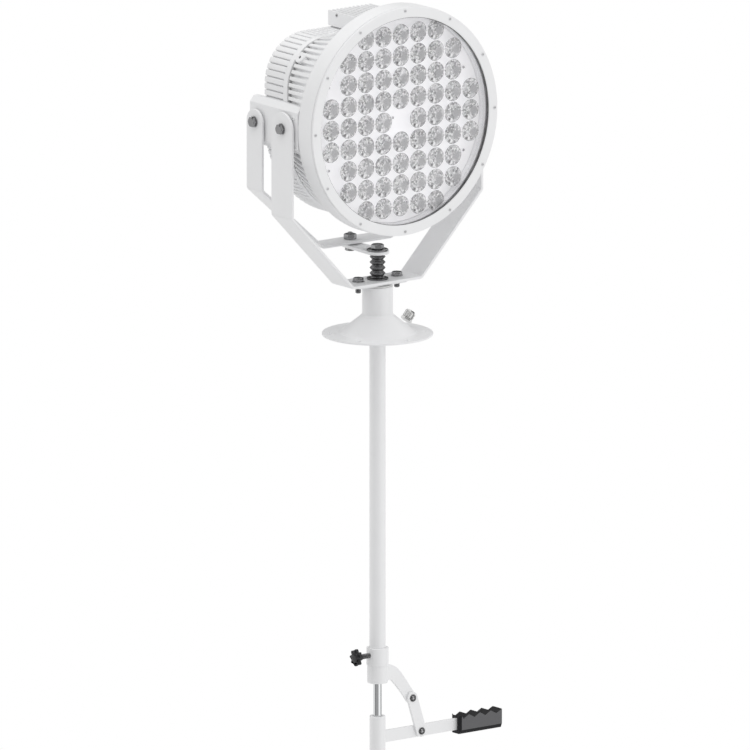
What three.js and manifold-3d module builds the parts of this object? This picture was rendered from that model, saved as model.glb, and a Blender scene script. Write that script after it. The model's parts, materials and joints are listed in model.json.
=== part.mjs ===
// Roof-through searchlight: a round multi-lens lamp on a yoke above a cabin roof,
// panned and tilted from below by a handle under the roof.
// Millimetres, +Z up. The deck flange's underside is the plane Z = 0, the lamp looks along -Y.

import * as THREE from 'three';
import { mergeVertices } from 'three/addons/utils/BufferGeometryUtils.js';
import Module from 'manifold-3d';

const wasm = await Module();
wasm.setup();

// ---------- driving dimensions ----------
const GAP = 0.3;                     // clearance between pieces that touch on the real object

const PAN_AXIS_BEHIND_DATUM = 60;    // the datum is a point on the flange, in front of the pan axis
const LAMP_AXIS_HEIGHT = 463;
const REAR_PIVOT_BEHIND = 93;        // push-rod pivot behind the tilt axis

const BEZEL_RADIUS = 240;
const WINDOW_RADIUS = 217;
const BEZEL_AHEAD = 94;              // bezel face in front of the tilt axis
const BEZEL_DEPTH = 48;
const BEZEL_FACE_THICKNESS = 4.2;
const BEZEL_WALL = 3.2;
const SCREW_CIRCLE_RADIUS = 231.5;
const SCREW_COUNT = 12;
const SCREW_DRILL_RADIUS = 2.4;
const GLASS_RADIUS = 226;
const GLASS_SEAT_RADIUS = 227;
const GLASS_SEAT_DEPTH = 11.5;
const GASKET_SEAT_DEPTH = 4.5;
const GLASS_FRONT_DEPTH = 7.2;
const GLASS_BACK_DEPTH = 11.2;

const LENS_PITCH = 45;
const LENS_FACE_DEPTH = 13.6;
const CARRIER_DEPTH = 31.4;
const LED_BOARD_DEPTH = 33.7;
const SPREADER_DEPTH = 36.3;

const FIN_COUNT = 72;
const FIN_FILL = 0.45;               // share of the fin pitch that is metal
const FRONT_FIN_DEPTH = 15;
const REAR_FIN_DEPTH = 14;
const BAND_DEPTH = 112;              // where the rear housing's band starts
const REAR_FINS_DEPTH = 126;
const HOUSING_END_DEPTH = 190;
const HOUSING_HALF_WIDTH = 220;
const HOUSING_TOP = 176;
const HOUSING_CORNER = 100;
const HOUSING_LOWER_RADIUS = 221;
const HOUSING_WALL = 24;
const COVER_THICKNESS = 4.7;
const SPREADER_BACK_DEPTH = 50;

const BRACKET_SEAT = 218;            // flat on the housing that a side bracket sits on
const BRACKET_FACE = 239;
const BRACKET_HALF_HEIGHT = 50;
const BRACKET_FRONT_DEPTH = 52;
const BRACKET_LENGTH = 162;

const YOKE_FACE = 248;               // outer face of both yokes
const YOKE_THICKNESS = 5.5;
const YOKE_BEND = 9;
const FRONT_YOKE_WIDTH = 70;
const FRONT_YOKE_KNEE = 279;
const FRONT_YOKE_BASE = 111;
const REAR_YOKE_WIDTH = 52;
const REAR_YOKE_KNEE = 321;
const REAR_YOKE_BASE = 179.4;
const YOKE_FOOT_HALF = 89.5;         // half of the flat foot between the bends

const BOLT_RADIUS = 6;
const BOLT_HOLE = 6.5;
const BOLT_HEAD_RADIUS = 10.95;      // across corners of a 19 mm hexagon
const BOLT_HEAD_HEIGHT = 7.5;
const WASHER_RADIUS = 12.5;
const PIVOT_BOLT_LENGTH = 27;
const LINK_BOLT_LENGTH = 29.8;
const NUT_RADIUS = 13.5;
const BASE_BOLT_LENGTH = 24;
const BASE_BOLT_OFFSET = 50;

const TUBE_RADIUS = 16.85;
const TUBE_BORE = 14.2;
const TUBE_BOTTOM = -735;
const BUSH_BORE = 17.2;
const ROD_RADIUS = 8.75;
const ROD_BUSH_BORE = 9.05;
const ROD_BUSH_LENGTH = 30;
const ROD_BOTTOM = -834;
const ROD_SHOULDER = 169.7;
const STUD_RADIUS = 7.9;

const PEDESTAL_RADIUS = 32;
const PEDESTAL_TOP = 102.4;
const PEDESTAL_BORE = 24.3;
const CONE_TOP = 41;
const CONE_FOOT_RADIUS = 78;
const FLANGE_RADIUS = 115;
const FLANGE_THICKNESS = 4;
const FLANGE_HOLE_CIRCLE = 98;
const FLANGE_HOLE_COUNT = 6;

const HEAD_FLANGE_BOTTOM = 105.7;
const HEAD_FLANGE_THICKNESS = 5;
const TUBE_TOP = HEAD_FLANGE_BOTTOM + HEAD_FLANGE_THICKNESS;
const LINK_PLATE_BOTTOM = 170;
const LINK_PLATE_THICKNESS = 6.6;
const GLIDE_THICKNESS = 2;

const COLLAR_TOP = -661;
const COLLAR_LEDGE = -697;
const COLLAR_RADIUS = 23;
const COLLAR_LOWER_RADIUS = 21.5;
const KNOB_HEIGHT = -676;
const LEVER_HEIGHT = -852;
const LINK_TOP = new THREE.Vector2(85, -779);
const LINK_BOTTOM = new THREE.Vector2(108, LEVER_HEIGHT);
const LINK_WIDTH = 25;
const BAR_THICKNESS = 6;
const HANDLE_TUBE_TOP = -806;
const HANDLE_TUBE_BOTTOM = -912;
const HANDLE_TUBE_RADIUS = 16.5;
const GRIP_START = 203;
const GRIP_LENGTH = 110;
const GRIP_HEIGHT = 40;
const GRIP_WIDTH = 32;
const LEVER_END = GRIP_START + 87;

// ---------- materials ----------
const paint = (color, roughness, metalness) =>
  new THREE.MeshStandardMaterial({ color, roughness, metalness });
const WHITE_PAINT = paint(0xe8e8e9, 0.45, 0.1);
const BLACK_STEEL = paint(0x3c3d40, 0.4, 0.8);
const BLACK_RUBBER = paint(0x2c2c2e, 0.75, 0);
const BLACK_PLASTIC = paint(0x2a2a2c, 0.5, 0);
const GREY_GRIP = paint(0x4b4c4f, 0.65, 0);
const CHROME = paint(0xd8dadd, 0.12, 1);
const BRIGHT_STEEL = paint(0xc4c5c8, 0.3, 1);
const GREY_OPTIC = paint(0xb9babd, 0.15, 0.3);
const GLASS = new THREE.MeshStandardMaterial({
  color: 0xf4f8fa, roughness: 0.03, metalness: 0, transparent: true, opacity: 0.25,
});
const WHITE_BOARD = paint(0xf0f0f1, 0.5, 0);
const NYLON = paint(0xddd9cc, 0.6, 0);

// ---------- helpers ----------
function toSolid(geometry) {
  const bare = geometry.clone();
  bare.deleteAttribute('normal');
  bare.deleteAttribute('uv');
  const merged = mergeVertices(bare, 1e-4);
  return new wasm.Manifold(new wasm.Mesh({
    numProp: 3,
    vertProperties: new Float32Array(merged.attributes.position.array),
    triVerts: new Uint32Array(merged.index.array),
  }));
}

function toGeometry(solid) {
  const mesh = solid.getMesh();
  const geometry = new THREE.BufferGeometry();
  geometry.setAttribute('position', new THREE.BufferAttribute(new Float32Array(mesh.vertProperties), 3));
  geometry.setIndex(new THREE.BufferAttribute(new Uint32Array(mesh.triVerts), 1));
  geometry.computeVertexNormals();
  return geometry;
}

function cut(geometry, ...tools) {
  return toGeometry(tools.reduce((solid, tool) => solid.subtract(toSolid(tool)), toSolid(geometry)));
}

function join(geometry, ...others) {
  return toGeometry(others.reduce((solid, other) => solid.add(toSolid(other)), toSolid(geometry)));
}

function addPart(parent, name, geometry, material, position = [0, 0, 0], rotation = [0, 0, 0]) {
  const mesh = new THREE.Mesh(geometry, material);
  mesh.name = name;
  mesh.position.set(...position);
  mesh.rotation.set(...rotation);
  parent.add(mesh);
}

const corners = (points) => points.map(([x, y]) => new THREE.Vector2(x, y));

// Solid of revolution about Z; the profile is [radius, height] pairs, counter-clockwise.
function latheZ(profile, segments = 24) {
  return new THREE.LatheGeometry(corners(profile), segments).rotateX(Math.PI / 2);
}

// Solid of revolution about Y; the profile is [radius, y] pairs, counter-clockwise.
const latheY = (profile, segments = 48) => new THREE.LatheGeometry(corners(profile), segments);

const ringProfile = (inner, outer, low, high) => [
  [inner, low], [outer, low], [outer, high], [inner, high], [inner, low],
];

const discProfile = (radius, low, high) => [[0, low], [radius, low], [radius, high], [0, high]];

const ringZ = (inner, outer, low, high, segments) => latheZ(ringProfile(inner, outer, low, high), segments);

const discZ = (radius, low, high, segments) => latheZ(discProfile(radius, low, high), segments);

const ringY = (inner, outer, low, high, segments) => latheY(ringProfile(inner, outer, low, high), segments);

// Round bar or drill along X or Y, centred on the origin.
const barX = (radius, length, segments = 12) =>
  new THREE.CylinderGeometry(radius, radius, length, segments).rotateZ(Math.PI / 2);

const barY = (radius, length, segments = 12) =>
  new THREE.CylinderGeometry(radius, radius, length, segments);

function block(minimum, maximum) {
  const size = maximum.map((value, axis) => value - minimum[axis]);
  const centre = maximum.map((value, axis) => (value + minimum[axis]) / 2);
  return new THREE.BoxGeometry(...size).translate(...centre);
}

const extrude = (shape, depth, curveSegments = 12) =>
  new THREE.ExtrudeGeometry(shape, { depth, bevelEnabled: false, curveSegments });

// Extrudes an outline drawn as (x, z) from y = from to y = to.
function extrudeAlongY(shape, from, to, curveSegments) {
  return extrude(shape, to - from, curveSegments).rotateX(Math.PI / 2).translate(0, to, 0);
}

// Extrudes an outline drawn as (y, z) along X, centred on x = 0.
function extrudeAlongX(shape, length, curveSegments) {
  return extrude(shape, length, curveSegments)
    .translate(0, 0, -length / 2)
    .rotateX(Math.PI / 2)
    .rotateZ(Math.PI / 2);
}

function roundHole(x, y, radius) {
  return new THREE.Path().absarc(x, y, radius, 0, 2 * Math.PI, true);
}

// Centre line with round bends, returned as points with their left-hand normals.
function bentLine(points, radius, steps = 3) {
  const line = [];
  const normalOf = (direction) => new THREE.Vector2(-direction.y, direction.x);
  const directions = points.slice(1).map((point, i) => point.clone().sub(points[i]).normalize());
  line.push({ point: points[0], normal: normalOf(directions[0]) });
  for (let i = 1; i < points.length - 1; i += 1) {
    const before = directions[i - 1];
    const turn = Math.atan2(before.cross(directions[i]), before.dot(directions[i]));
    const side = Math.sign(turn);
    const start = points[i].clone().addScaledVector(before, -radius * Math.tan(Math.abs(turn) / 2));
    const centre = start.clone().addScaledVector(normalOf(before), side * radius);
    for (let k = 0; k <= steps; k += 1) {
      const normal = normalOf(before).rotateAround(new THREE.Vector2(), (turn * k) / steps);
      line.push({ point: centre.clone().addScaledVector(normal, -side * radius), normal });
    }
  }
  line.push({ point: points.at(-1), normal: normalOf(directions.at(-1)) });
  return line;
}

function stripShape(points, thickness, radius) {
  const line = bentLine(points, radius);
  const offset = (sign) => line.map(({ point, normal }) =>
    point.clone().addScaledVector(normal, (sign * thickness) / 2));
  return new THREE.Shape([...offset(1), ...offset(-1).reverse()]);
}

// U-shaped yoke bent from flat bar, with full-round ends centred on the pivots.
function yokeGeometry(width, knee, base, pivotHeight) {
  const half = YOKE_THICKNESS / 2;
  const side = YOKE_FACE - half;
  const foot = YOKE_FOOT_HALF - half / 2;
  const top = pivotHeight + width;
  const line = corners([
    [-side, top], [-side, knee], [-foot, base + half], [foot, base + half], [side, knee], [side, top],
  ]);
  const strip = extrudeAlongY(stripShape(line, YOKE_THICKNESS, YOKE_BEND), -width / 2, width / 2);
  const profile = new THREE.Shape();
  profile.moveTo(-width / 2, 0);
  profile.lineTo(width / 2, 0);
  profile.absarc(0, pivotHeight, width / 2, 0, Math.PI, false);
  const envelope = extrudeAlongX(profile, 3 * YOKE_FACE, 8);
  const ends = toSolid(strip).intersect(toSolid(envelope));
  const drill = barX(BOLT_HOLE, 3 * YOKE_FACE).translate(0, 0, pivotHeight);
  return toGeometry(ends.subtract(toSolid(drill)));
}

// Hexagon-head bolt along Z: the head's underside is at z = 0 and the shank goes down.
function boltGeometry(length, washerRadius = 0) {
  const washer = washerRadius ? 1.5 : 0;
  const head = new THREE.CylinderGeometry(BOLT_HEAD_RADIUS, BOLT_HEAD_RADIUS, BOLT_HEAD_HEIGHT, 6)
    .rotateX(Math.PI / 2)
    .translate(0, 0, washer + BOLT_HEAD_HEIGHT / 2);
  const shank = discZ(BOLT_RADIUS, -length, 1, 12);
  const pieces = washer ? [shank, discZ(washerRadius, 0, washer + 0.1, 16)] : [shank];
  return join(head, ...pieces);
}

const hexagonZ = (radius, low, high) => new THREE.CylinderGeometry(radius, radius, high - low, 6)
  .rotateX(Math.PI / 2)
  .translate(0, 0, (low + high) / 2);

// ---------- lamp outlines ----------
const depthY = (depth) => depth - BEZEL_AHEAD;

// Radius of the housing's outline: a rounded rectangle above the axis, a circle below it.
function housingRadius(angle) {
  const across = Math.abs(Math.cos(angle));
  const up = Math.sin(angle);
  if (up <= 0) return HOUSING_LOWER_RADIUS;
  const cornerX = HOUSING_HALF_WIDTH - HOUSING_CORNER;
  const cornerZ = HOUSING_TOP - HOUSING_CORNER;
  if (up * HOUSING_HALF_WIDTH <= cornerZ * across) return HOUSING_HALF_WIDTH / across;
  if (across * HOUSING_TOP <= cornerX * up) return HOUSING_TOP / up;
  const along = across * cornerX + up * cornerZ;
  return along + Math.sqrt(along ** 2 - cornerX ** 2 - cornerZ ** 2 + HOUSING_CORNER ** 2);
}

const polar = (radius, angle) => new THREE.Vector2(radius * Math.cos(angle), radius * Math.sin(angle));

const outline = (inset, count = 48) =>
  Array.from({ length: count }, (_, i) => {
    const angle = (2 * Math.PI * i) / count;
    return polar(housingRadius(angle) - inset, angle);
  });

// Toothed loop: each fin is two points on the tip radius and two on the root radius.
function finLoop(tipRadius, rootRadius) {
  const pitch = (2 * Math.PI) / FIN_COUNT;
  const halfTip = (pitch * FIN_FILL) / 2;
  return Array.from({ length: FIN_COUNT }, (_, i) => {
    const angle = (i + 0.5) * pitch;
    return [
      polar(rootRadius(angle - halfTip), angle - halfTip * 1.2),
      polar(tipRadius(angle - halfTip), angle - halfTip),
      polar(tipRadius(angle + halfTip), angle + halfTip),
      polar(rootRadius(angle + halfTip), angle + halfTip * 1.2),
    ];
  }).flat();
}

// Solid between two loops of equal length, drawn as (x, z), at two y positions.
function loftAlongY(frontLoop, rearLoop, from, to) {
  const geometry = extrudeAlongY(new THREE.Shape(rearLoop), from, to);
  const keyOf = (x, z) => `${Math.fround(x).toFixed(2)} ${Math.fround(z).toFixed(2)}`;
  const frontOf = new Map(rearLoop.map((point, i) => [keyOf(point.x, point.y), frontLoop[i]]));
  const position = geometry.attributes.position;
  for (let i = 0; i < position.count; i += 1) {
    if (position.getY(i) < (from + to) / 2) {
      const point = frontOf.get(keyOf(position.getX(i), position.getZ(i)));
      position.setX(i, point.x);
      position.setZ(i, point.y);
    }
  }
  return geometry;
}

// ---------- lamp ----------
const screwAngles = Array.from({ length: SCREW_COUNT }, (_, i) => (2 * Math.PI * i) / SCREW_COUNT);

function screwDrills(radius, from, to) {
  return screwAngles.map((angle) => barY(radius, to - from, 6).translate(
    SCREW_CIRCLE_RADIUS * Math.cos(angle),
    (from + to) / 2,
    SCREW_CIRCLE_RADIUS * Math.sin(angle),
  ));
}

function bezelGeometry() {
  const front = depthY(0);
  const inside = depthY(BEZEL_FACE_THICKNESS);
  const wall = BEZEL_RADIUS - BEZEL_WALL;
  const profile = [
    [WINDOW_RADIUS, front], [BEZEL_RADIUS, front], [BEZEL_RADIUS, depthY(BEZEL_DEPTH)],
    [wall, depthY(BEZEL_DEPTH)], [wall, inside], [WINDOW_RADIUS, inside], [WINDOW_RADIUS, front],
  ];
  return cut(latheY(profile), ...screwDrills(SCREW_DRILL_RADIUS, front - 5, inside + 5));
}

// Bezel screw along Y: the head's underside is just in front of y = 0 and the shank goes back.
function screwGeometry() {
  const headHeight = 1.6;
  const shankLength = 14;
  const head = barY(3.8, headHeight, 8).translate(0, -0.1 - headHeight / 2, 0);
  const shank = barY(1.9, shankLength, 6).translate(0, shankLength / 2 - 0.5, 0);
  return join(head, shank);
}

function frontHousingGeometry() {
  const finsStart = depthY(BEZEL_DEPTH + GAP);
  const finsEnd = depthY(BAND_DEPTH - GAP);
  const wall = BEZEL_RADIUS - BEZEL_WALL - GAP;
  const body = latheY([
    [0, depthY(SPREADER_DEPTH)], [WINDOW_RADIUS, depthY(SPREADER_DEPTH)],
    [WINDOW_RADIUS, depthY(GLASS_SEAT_DEPTH)], [GLASS_SEAT_RADIUS, depthY(GLASS_SEAT_DEPTH)],
    [GLASS_SEAT_RADIUS, depthY(GASKET_SEAT_DEPTH)], [wall, depthY(GASKET_SEAT_DEPTH)],
    [wall, finsStart + 0.5], [0, finsStart + 0.5],
  ]);
  const frontLoop = finLoop(() => BEZEL_RADIUS - 0.2, () => BEZEL_RADIUS - 5);
  const rearLoop = finLoop(
    (angle) => housingRadius(angle) - 1,
    (angle) => housingRadius(angle) - FRONT_FIN_DEPTH,
  );
  const fins = loftAlongY(frontLoop, rearLoop, finsStart, finsEnd);
  const inside = new THREE.Shape(outline(HOUSING_WALL));
  const cavity = extrudeAlongY(inside, depthY(SPREADER_BACK_DEPTH), finsEnd + 5);
  const screwHoles = screwDrills(SCREW_DRILL_RADIUS, depthY(0), depthY(20));
  return cut(join(body, fins), cavity, ...bracketPockets(), blockPocket(), ...screwHoles);
}

function bracketPockets() {
  const half = BRACKET_HALF_HEIGHT + GAP;
  const from = depthY(BRACKET_FRONT_DEPTH - GAP);
  return [-1, 1].map((side) => block(
    [side > 0 ? BRACKET_SEAT : -2 * BRACKET_SEAT, from, -half],
    [side > 0 ? 2 * BRACKET_SEAT : -BRACKET_SEAT, from + 2 * BRACKET_LENGTH, half],
  ));
}

const BLOCK_HALF_WIDTH = 55;
const BLOCK_BOTTOM = 178.3;
const BLOCK_TOP = 210;
const BLOCK_FRONT_DEPTH = 62;

function blockPocket() {
  const half = BLOCK_HALF_WIDTH + GAP;
  return block(
    [-half, depthY(BLOCK_FRONT_DEPTH - GAP), BLOCK_BOTTOM - GAP],
    [half, depthY(HOUSING_END_DEPTH + 10), 2 * BLOCK_TOP],
  );
}

// Comb-shaped block of fins that run front to back, on top of the housing.
function topBlockGeometry() {
  const finCount = 10;
  const pitch = (2 * BLOCK_HALF_WIDTH) / (finCount - 0.5);
  const floor = BLOCK_BOTTOM + 9;
  const points = [[-BLOCK_HALF_WIDTH, BLOCK_BOTTOM], [BLOCK_HALF_WIDTH, BLOCK_BOTTOM]];
  for (let i = finCount - 1; i >= 0; i -= 1) {
    const left = -BLOCK_HALF_WIDTH + i * pitch;
    const right = left + pitch / 2;
    points.push([right, BLOCK_TOP], [left, BLOCK_TOP]);
    if (i > 0) points.push([left, floor], [left - pitch / 2, floor]);
  }
  const shape = new THREE.Shape(corners(points));
  return extrudeAlongY(shape, depthY(BLOCK_FRONT_DEPTH), depthY(HOUSING_END_DEPTH));
}

function rearHousingGeometry() {
  const start = depthY(BAND_DEPTH);
  const end = depthY(HOUSING_END_DEPTH);
  const band = extrudeAlongY(new THREE.Shape(outline(0)), start, depthY(REAR_FINS_DEPTH));
  const loop = finLoop(housingRadius, (angle) => housingRadius(angle) - REAR_FIN_DEPTH);
  const fins = extrudeAlongY(new THREE.Shape(loop), depthY(REAR_FINS_DEPTH) - 0.5, end);
  const cavity = extrudeAlongY(new THREE.Shape(outline(HOUSING_WALL)), start - 5, end - 5);
  return cut(join(band, fins), cavity, ...bracketPockets());
}

function rearCoverGeometry() {
  const front = depthY(HOUSING_END_DEPTH + GAP);
  return extrudeAlongY(new THREE.Shape(outline(HOUSING_WALL + 6)), front, front + COVER_THICKNESS);
}

function lensSpots() {
  const spots = [];
  for (let column = -4; column <= 4; column += 1) {
    const reach = { 4: 1, 3: 3 }[Math.abs(column)] ?? 4;
    for (let row = -reach; row <= reach; row += 1) {
      if (column !== 0 || row !== 0) spots.push([column * LENS_PITCH, row * LENS_PITCH]);
    }
  }
  return spots;
}

// White carrier plate with one cup-shaped optic at every lamp position.
function lensArrayGeometry() {
  const carrierBack = depthY(LED_BOARD_DEPTH - GAP);
  const carrierFront = depthY(CARRIER_DEPTH);
  const face = depthY(LENS_FACE_DEPTH);
  const depth = carrierFront + 0.5 - face;
  const radius = WINDOW_RADIUS - 0.8;
  const plate = latheY(discProfile(radius, carrierFront, carrierBack));
  const lenses = lensSpots().map(([x, z]) => new THREE.CylinderGeometry(12, 21.4, depth, 6)
    .translate(x, face + depth / 2, z));
  const window = latheY(discProfile(radius, face - 1, carrierBack + 1));
  return toGeometry(toSolid(join(plate, ...lenses)).intersect(toSolid(window)));
}

// Bar on the housing's side; side is 1 for +X and -1 for -X.
function sideBracketGeometry(side) {
  const chamfer = BRACKET_FACE - 10;
  const seat = BRACKET_SEAT + GAP;
  const flat = BRACKET_HALF_HEIGHT - 12;
  const shape = new THREE.Shape(corners([
    [side * seat, -BRACKET_HALF_HEIGHT], [side * chamfer, -BRACKET_HALF_HEIGHT],
    [side * BRACKET_FACE, -flat], [side * BRACKET_FACE, flat],
    [side * chamfer, BRACKET_HALF_HEIGHT], [side * seat, BRACKET_HALF_HEIGHT],
  ]));
  const start = depthY(BRACKET_FRONT_DEPTH);
  const bar = extrudeAlongY(shape, start, start + BRACKET_LENGTH);
  const bossEnd = YOKE_FACE - YOKE_THICKNESS - GAP;
  const pivots = [0, REAR_PIVOT_BEHIND];
  const bosses = pivots.map((y) => barX(15, bossEnd - BRACKET_FACE + 2, 16)
    .translate((side * (bossEnd + BRACKET_FACE - 2)) / 2, y, 0));
  const drills = pivots.map((y) => barX(BOLT_RADIUS + 0.4, 60).translate(side * (BRACKET_FACE - 5), y, 0));
  return cut(join(bar, ...bosses), ...drills);
}

function buildLamp(parent) {
  const lamp = new THREE.Group();
  lamp.position.z = LAMP_AXIS_HEIGHT;
  parent.add(lamp);
  addPart(lamp, 'bezel_ring', bezelGeometry(), WHITE_PAINT);
  screwAngles.forEach((angle, i) => addPart(lamp, `bezel_screw_${String(i + 1).padStart(2, '0')}`,
    screwGeometry(), BRIGHT_STEEL, [
      SCREW_CIRCLE_RADIUS * Math.cos(angle), depthY(-GAP / 2), SCREW_CIRCLE_RADIUS * Math.sin(angle),
    ]));
  addPart(lamp, 'glass_gasket', ringY(WINDOW_RADIUS - 1.2, GLASS_RADIUS, depthY(GASKET_SEAT_DEPTH),
    depthY(GLASS_FRONT_DEPTH - GAP)), BLACK_RUBBER);
  addPart(lamp, 'front_glass', latheY(discProfile(GLASS_RADIUS, depthY(GLASS_FRONT_DEPTH),
    depthY(GLASS_BACK_DEPTH))), GLASS);
  addPart(lamp, 'lens_array', lensArrayGeometry(), GREY_OPTIC);
  addPart(lamp, 'led_board', latheY(discProfile(WINDOW_RADIUS - 2 * GAP, depthY(LED_BOARD_DEPTH),
    depthY(SPREADER_DEPTH - GAP))), WHITE_BOARD);
  addPart(lamp, 'front_housing', frontHousingGeometry(), WHITE_PAINT);
  addPart(lamp, 'rear_housing', rearHousingGeometry(), WHITE_PAINT);
  addPart(lamp, 'rear_cover', rearCoverGeometry(), WHITE_PAINT);
  addPart(lamp, 'top_heat_sink', topBlockGeometry(), WHITE_PAINT);
  const driver = block([-120, depthY(SPREADER_BACK_DEPTH + GAP), -90], [120, depthY(105), 90]);
  addPart(lamp, 'driver_module', driver, BRIGHT_STEEL);
  addPart(lamp, 'side_bracket_right', sideBracketGeometry(1), WHITE_PAINT);
  addPart(lamp, 'side_bracket_left', sideBracketGeometry(-1), WHITE_PAINT);
  addPivotBolts(lamp, 'front_pivot_bolt', 0);
}

// Two pivot bolts along X, their heads against the outer faces of a yoke.
function addPivotBolts(parent, name, height) {
  const seat = YOKE_FACE + GAP;
  const quarter = Math.PI / 2;
  const bolt = () => boltGeometry(PIVOT_BOLT_LENGTH, WASHER_RADIUS);
  addPart(parent, `${name}_right`, bolt(), BLACK_STEEL, [seat, 0, height], [0, quarter, 0]);
  addPart(parent, `${name}_left`, bolt(), BLACK_STEEL, [-seat, 0, height], [0, -quarter, 0]);
}

// ---------- rear tilt yoke ----------
function rearYokeGeometry() {
  const yoke = yokeGeometry(REAR_YOKE_WIDTH, REAR_YOKE_KNEE, REAR_YOKE_BASE, LAMP_AXIS_HEIGHT);
  const slot = new THREE.Shape();
  const travel = 6.5;
  slot.absarc(0, 0, BOLT_HOLE, Math.PI, 2 * Math.PI, false);
  slot.absarc(0, travel, BOLT_HOLE, 0, Math.PI, false);
  return cut(yoke, extrude(slot, 30).translate(0, 0, REAR_YOKE_BASE - 10));
}

function buildRearYoke(parent) {
  const group = new THREE.Group();
  group.position.y = REAR_PIVOT_BEHIND;
  parent.add(group);
  addPart(group, 'rear_yoke', rearYokeGeometry(), WHITE_PAINT);
  addPivotBolts(group, 'rear_pivot_bolt', LAMP_AXIS_HEIGHT);
}

// ---------- pedestal, fixed to the roof ----------
const GLAND_AXIS = new THREE.Vector3(0.63, 0, 0.777).normalize();
const GLAND_FOOT = new THREE.Vector3(68, 0, 13);

function alongGland(geometry) {
  const turn = new THREE.Quaternion().setFromUnitVectors(new THREE.Vector3(0, 0, 1), GLAND_AXIS);
  return geometry.applyQuaternion(turn).translate(...GLAND_FOOT.toArray());
}

function pedestalGeometry() {
  const body = latheZ([
    [PEDESTAL_BORE, 0], [FLANGE_RADIUS, 0], [FLANGE_RADIUS, FLANGE_THICKNESS - 0.5],
    [CONE_FOOT_RADIUS + 2, FLANGE_THICKNESS + 1], [CONE_FOOT_RADIUS - 2, FLANGE_THICKNESS + 3],
    [PEDESTAL_RADIUS, CONE_TOP], [PEDESTAL_RADIUS, PEDESTAL_TOP], [PEDESTAL_BORE, PEDESTAL_TOP],
    [PEDESTAL_BORE, 0],
  ], 36);
  const holes = Array.from({ length: FLANGE_HOLE_COUNT }, (_, i) => {
    const angle = ((i + 0.5) * 2 * Math.PI) / FLANGE_HOLE_COUNT;
    return discZ(4.5, -5, 20, 8).translate(
      FLANGE_HOLE_CIRCLE * Math.cos(angle), FLANGE_HOLE_CIRCLE * Math.sin(angle), 0);
  });
  const boss = alongGland(discZ(12, -7, 8, 20));
  const drill = alongGland(discZ(6.5, -4, 12, 12));
  return cut(join(body, boss), ...holes, drill);
}

function buildPedestal(parent) {
  const shoulder = PEDESTAL_BORE - GAP;
  addPart(parent, 'pedestal', pedestalGeometry(), WHITE_PAINT);
  addPart(parent, 'lower_bush', ringZ(BUSH_BORE, shoulder, 3, 33), NYLON);
  addPart(parent, 'upper_bush', ringZ(BUSH_BORE, shoulder, PEDESTAL_TOP - 30, PEDESTAL_TOP), NYLON);
  addPart(parent, 'thrust_washer', ringZ(BUSH_BORE, PEDESTAL_RADIUS - 1, PEDESTAL_TOP + GAP,
    HEAD_FLANGE_BOTTOM - GAP), NYLON);
  const collar = hexagonZ(12.7, 8.3, 14);
  addPart(parent, 'gland_body', alongGland(cut(join(collar, discZ(8.5, 8.3, 20, 16)), discZ(5, 0, 30, 12))),
    BRIGHT_STEEL);
  addPart(parent, 'gland_nut', alongGland(latheZ([
    [8.8, 14.3], [11.5, 14.3], [11.5, 27], [9, 31], [6, 31], [6, 20.5], [8.8, 20.5], [8.8, 14.3],
  ], 20)), BRIGHT_STEEL);
}

// ---------- mast: everything that pans except the rod, the lamp and the handle ----------
function headFlangeGeometry() {
  const shape = new THREE.Shape();
  const halfLength = 64;
  const halfWidth = 24;
  const corner = 14;
  shape.moveTo(-halfLength + corner, -halfWidth);
  shape.lineTo(halfLength - corner, -halfWidth);
  shape.absarc(halfLength - corner, -halfWidth + corner, corner, -Math.PI / 2, 0, false);
  shape.absarc(halfLength - corner, halfWidth - corner, corner, 0, Math.PI / 2, false);
  shape.absarc(-halfLength + corner, halfWidth - corner, corner, Math.PI / 2, Math.PI, false);
  shape.absarc(-halfLength + corner, -halfWidth + corner, corner, Math.PI, 1.5 * Math.PI, false);
  shape.holes.push(
    roundHole(0, 0, TUBE_RADIUS + 3 * GAP),
    roundHole(BASE_BOLT_OFFSET, 0, BOLT_HOLE),
    roundHole(-BASE_BOLT_OFFSET, 0, BOLT_HOLE),
  );
  return extrude(shape, HEAD_FLANGE_THICKNESS, 6).translate(0, 0, HEAD_FLANGE_BOTTOM);
}

function frontYokeGeometry() {
  const yoke = yokeGeometry(FRONT_YOKE_WIDTH, FRONT_YOKE_KNEE, FRONT_YOKE_BASE, LAMP_AXIS_HEIGHT);
  const low = FRONT_YOKE_BASE - 10;
  const high = FRONT_YOKE_BASE + 20;
  const boltHoles = [-BASE_BOLT_OFFSET, BASE_BOLT_OFFSET].map((x) => discZ(BOLT_HOLE, low, high, 16)
    .translate(x, 0, 0));
  return cut(yoke, discZ(12, low, high, 20), ...boltHoles);
}

// Rubber bellows around the rod, with a foot flange on the yoke.
function bellowsGeometry() {
  const bottom = FRONT_YOKE_BASE + YOKE_THICKNESS + GAP;
  const top = LINK_PLATE_BOTTOM - 2 * GAP;
  const foot = bottom + 3;
  const folds = 4;
  const valley = 11.2;
  const ridge = 16.8;
  const pitch = (top - foot) / (folds + 0.25);
  const profile = [[9.6, bottom], [22.5, bottom], [22.5, foot - 1], [valley + 2, foot]];
  for (let i = 0; i < folds; i += 1) {
    const base = foot + i * pitch;
    profile.push([valley, base + pitch * 0.25], [ridge, base + pitch * 0.75]);
  }
  profile.push([valley, top - pitch * 0.1], [valley + 2, top], [9.6, top], [9.6, bottom]);
  return latheZ(profile, 16);
}

function outerTubeGeometry() {
  const tube = ringZ(TUBE_BORE, TUBE_RADIUS, TUBE_BOTTOM, TUBE_TOP);
  return cut(tube, barX(6, 20).translate(-TUBE_RADIUS, 0, KNOB_HEIGHT));
}

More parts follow.
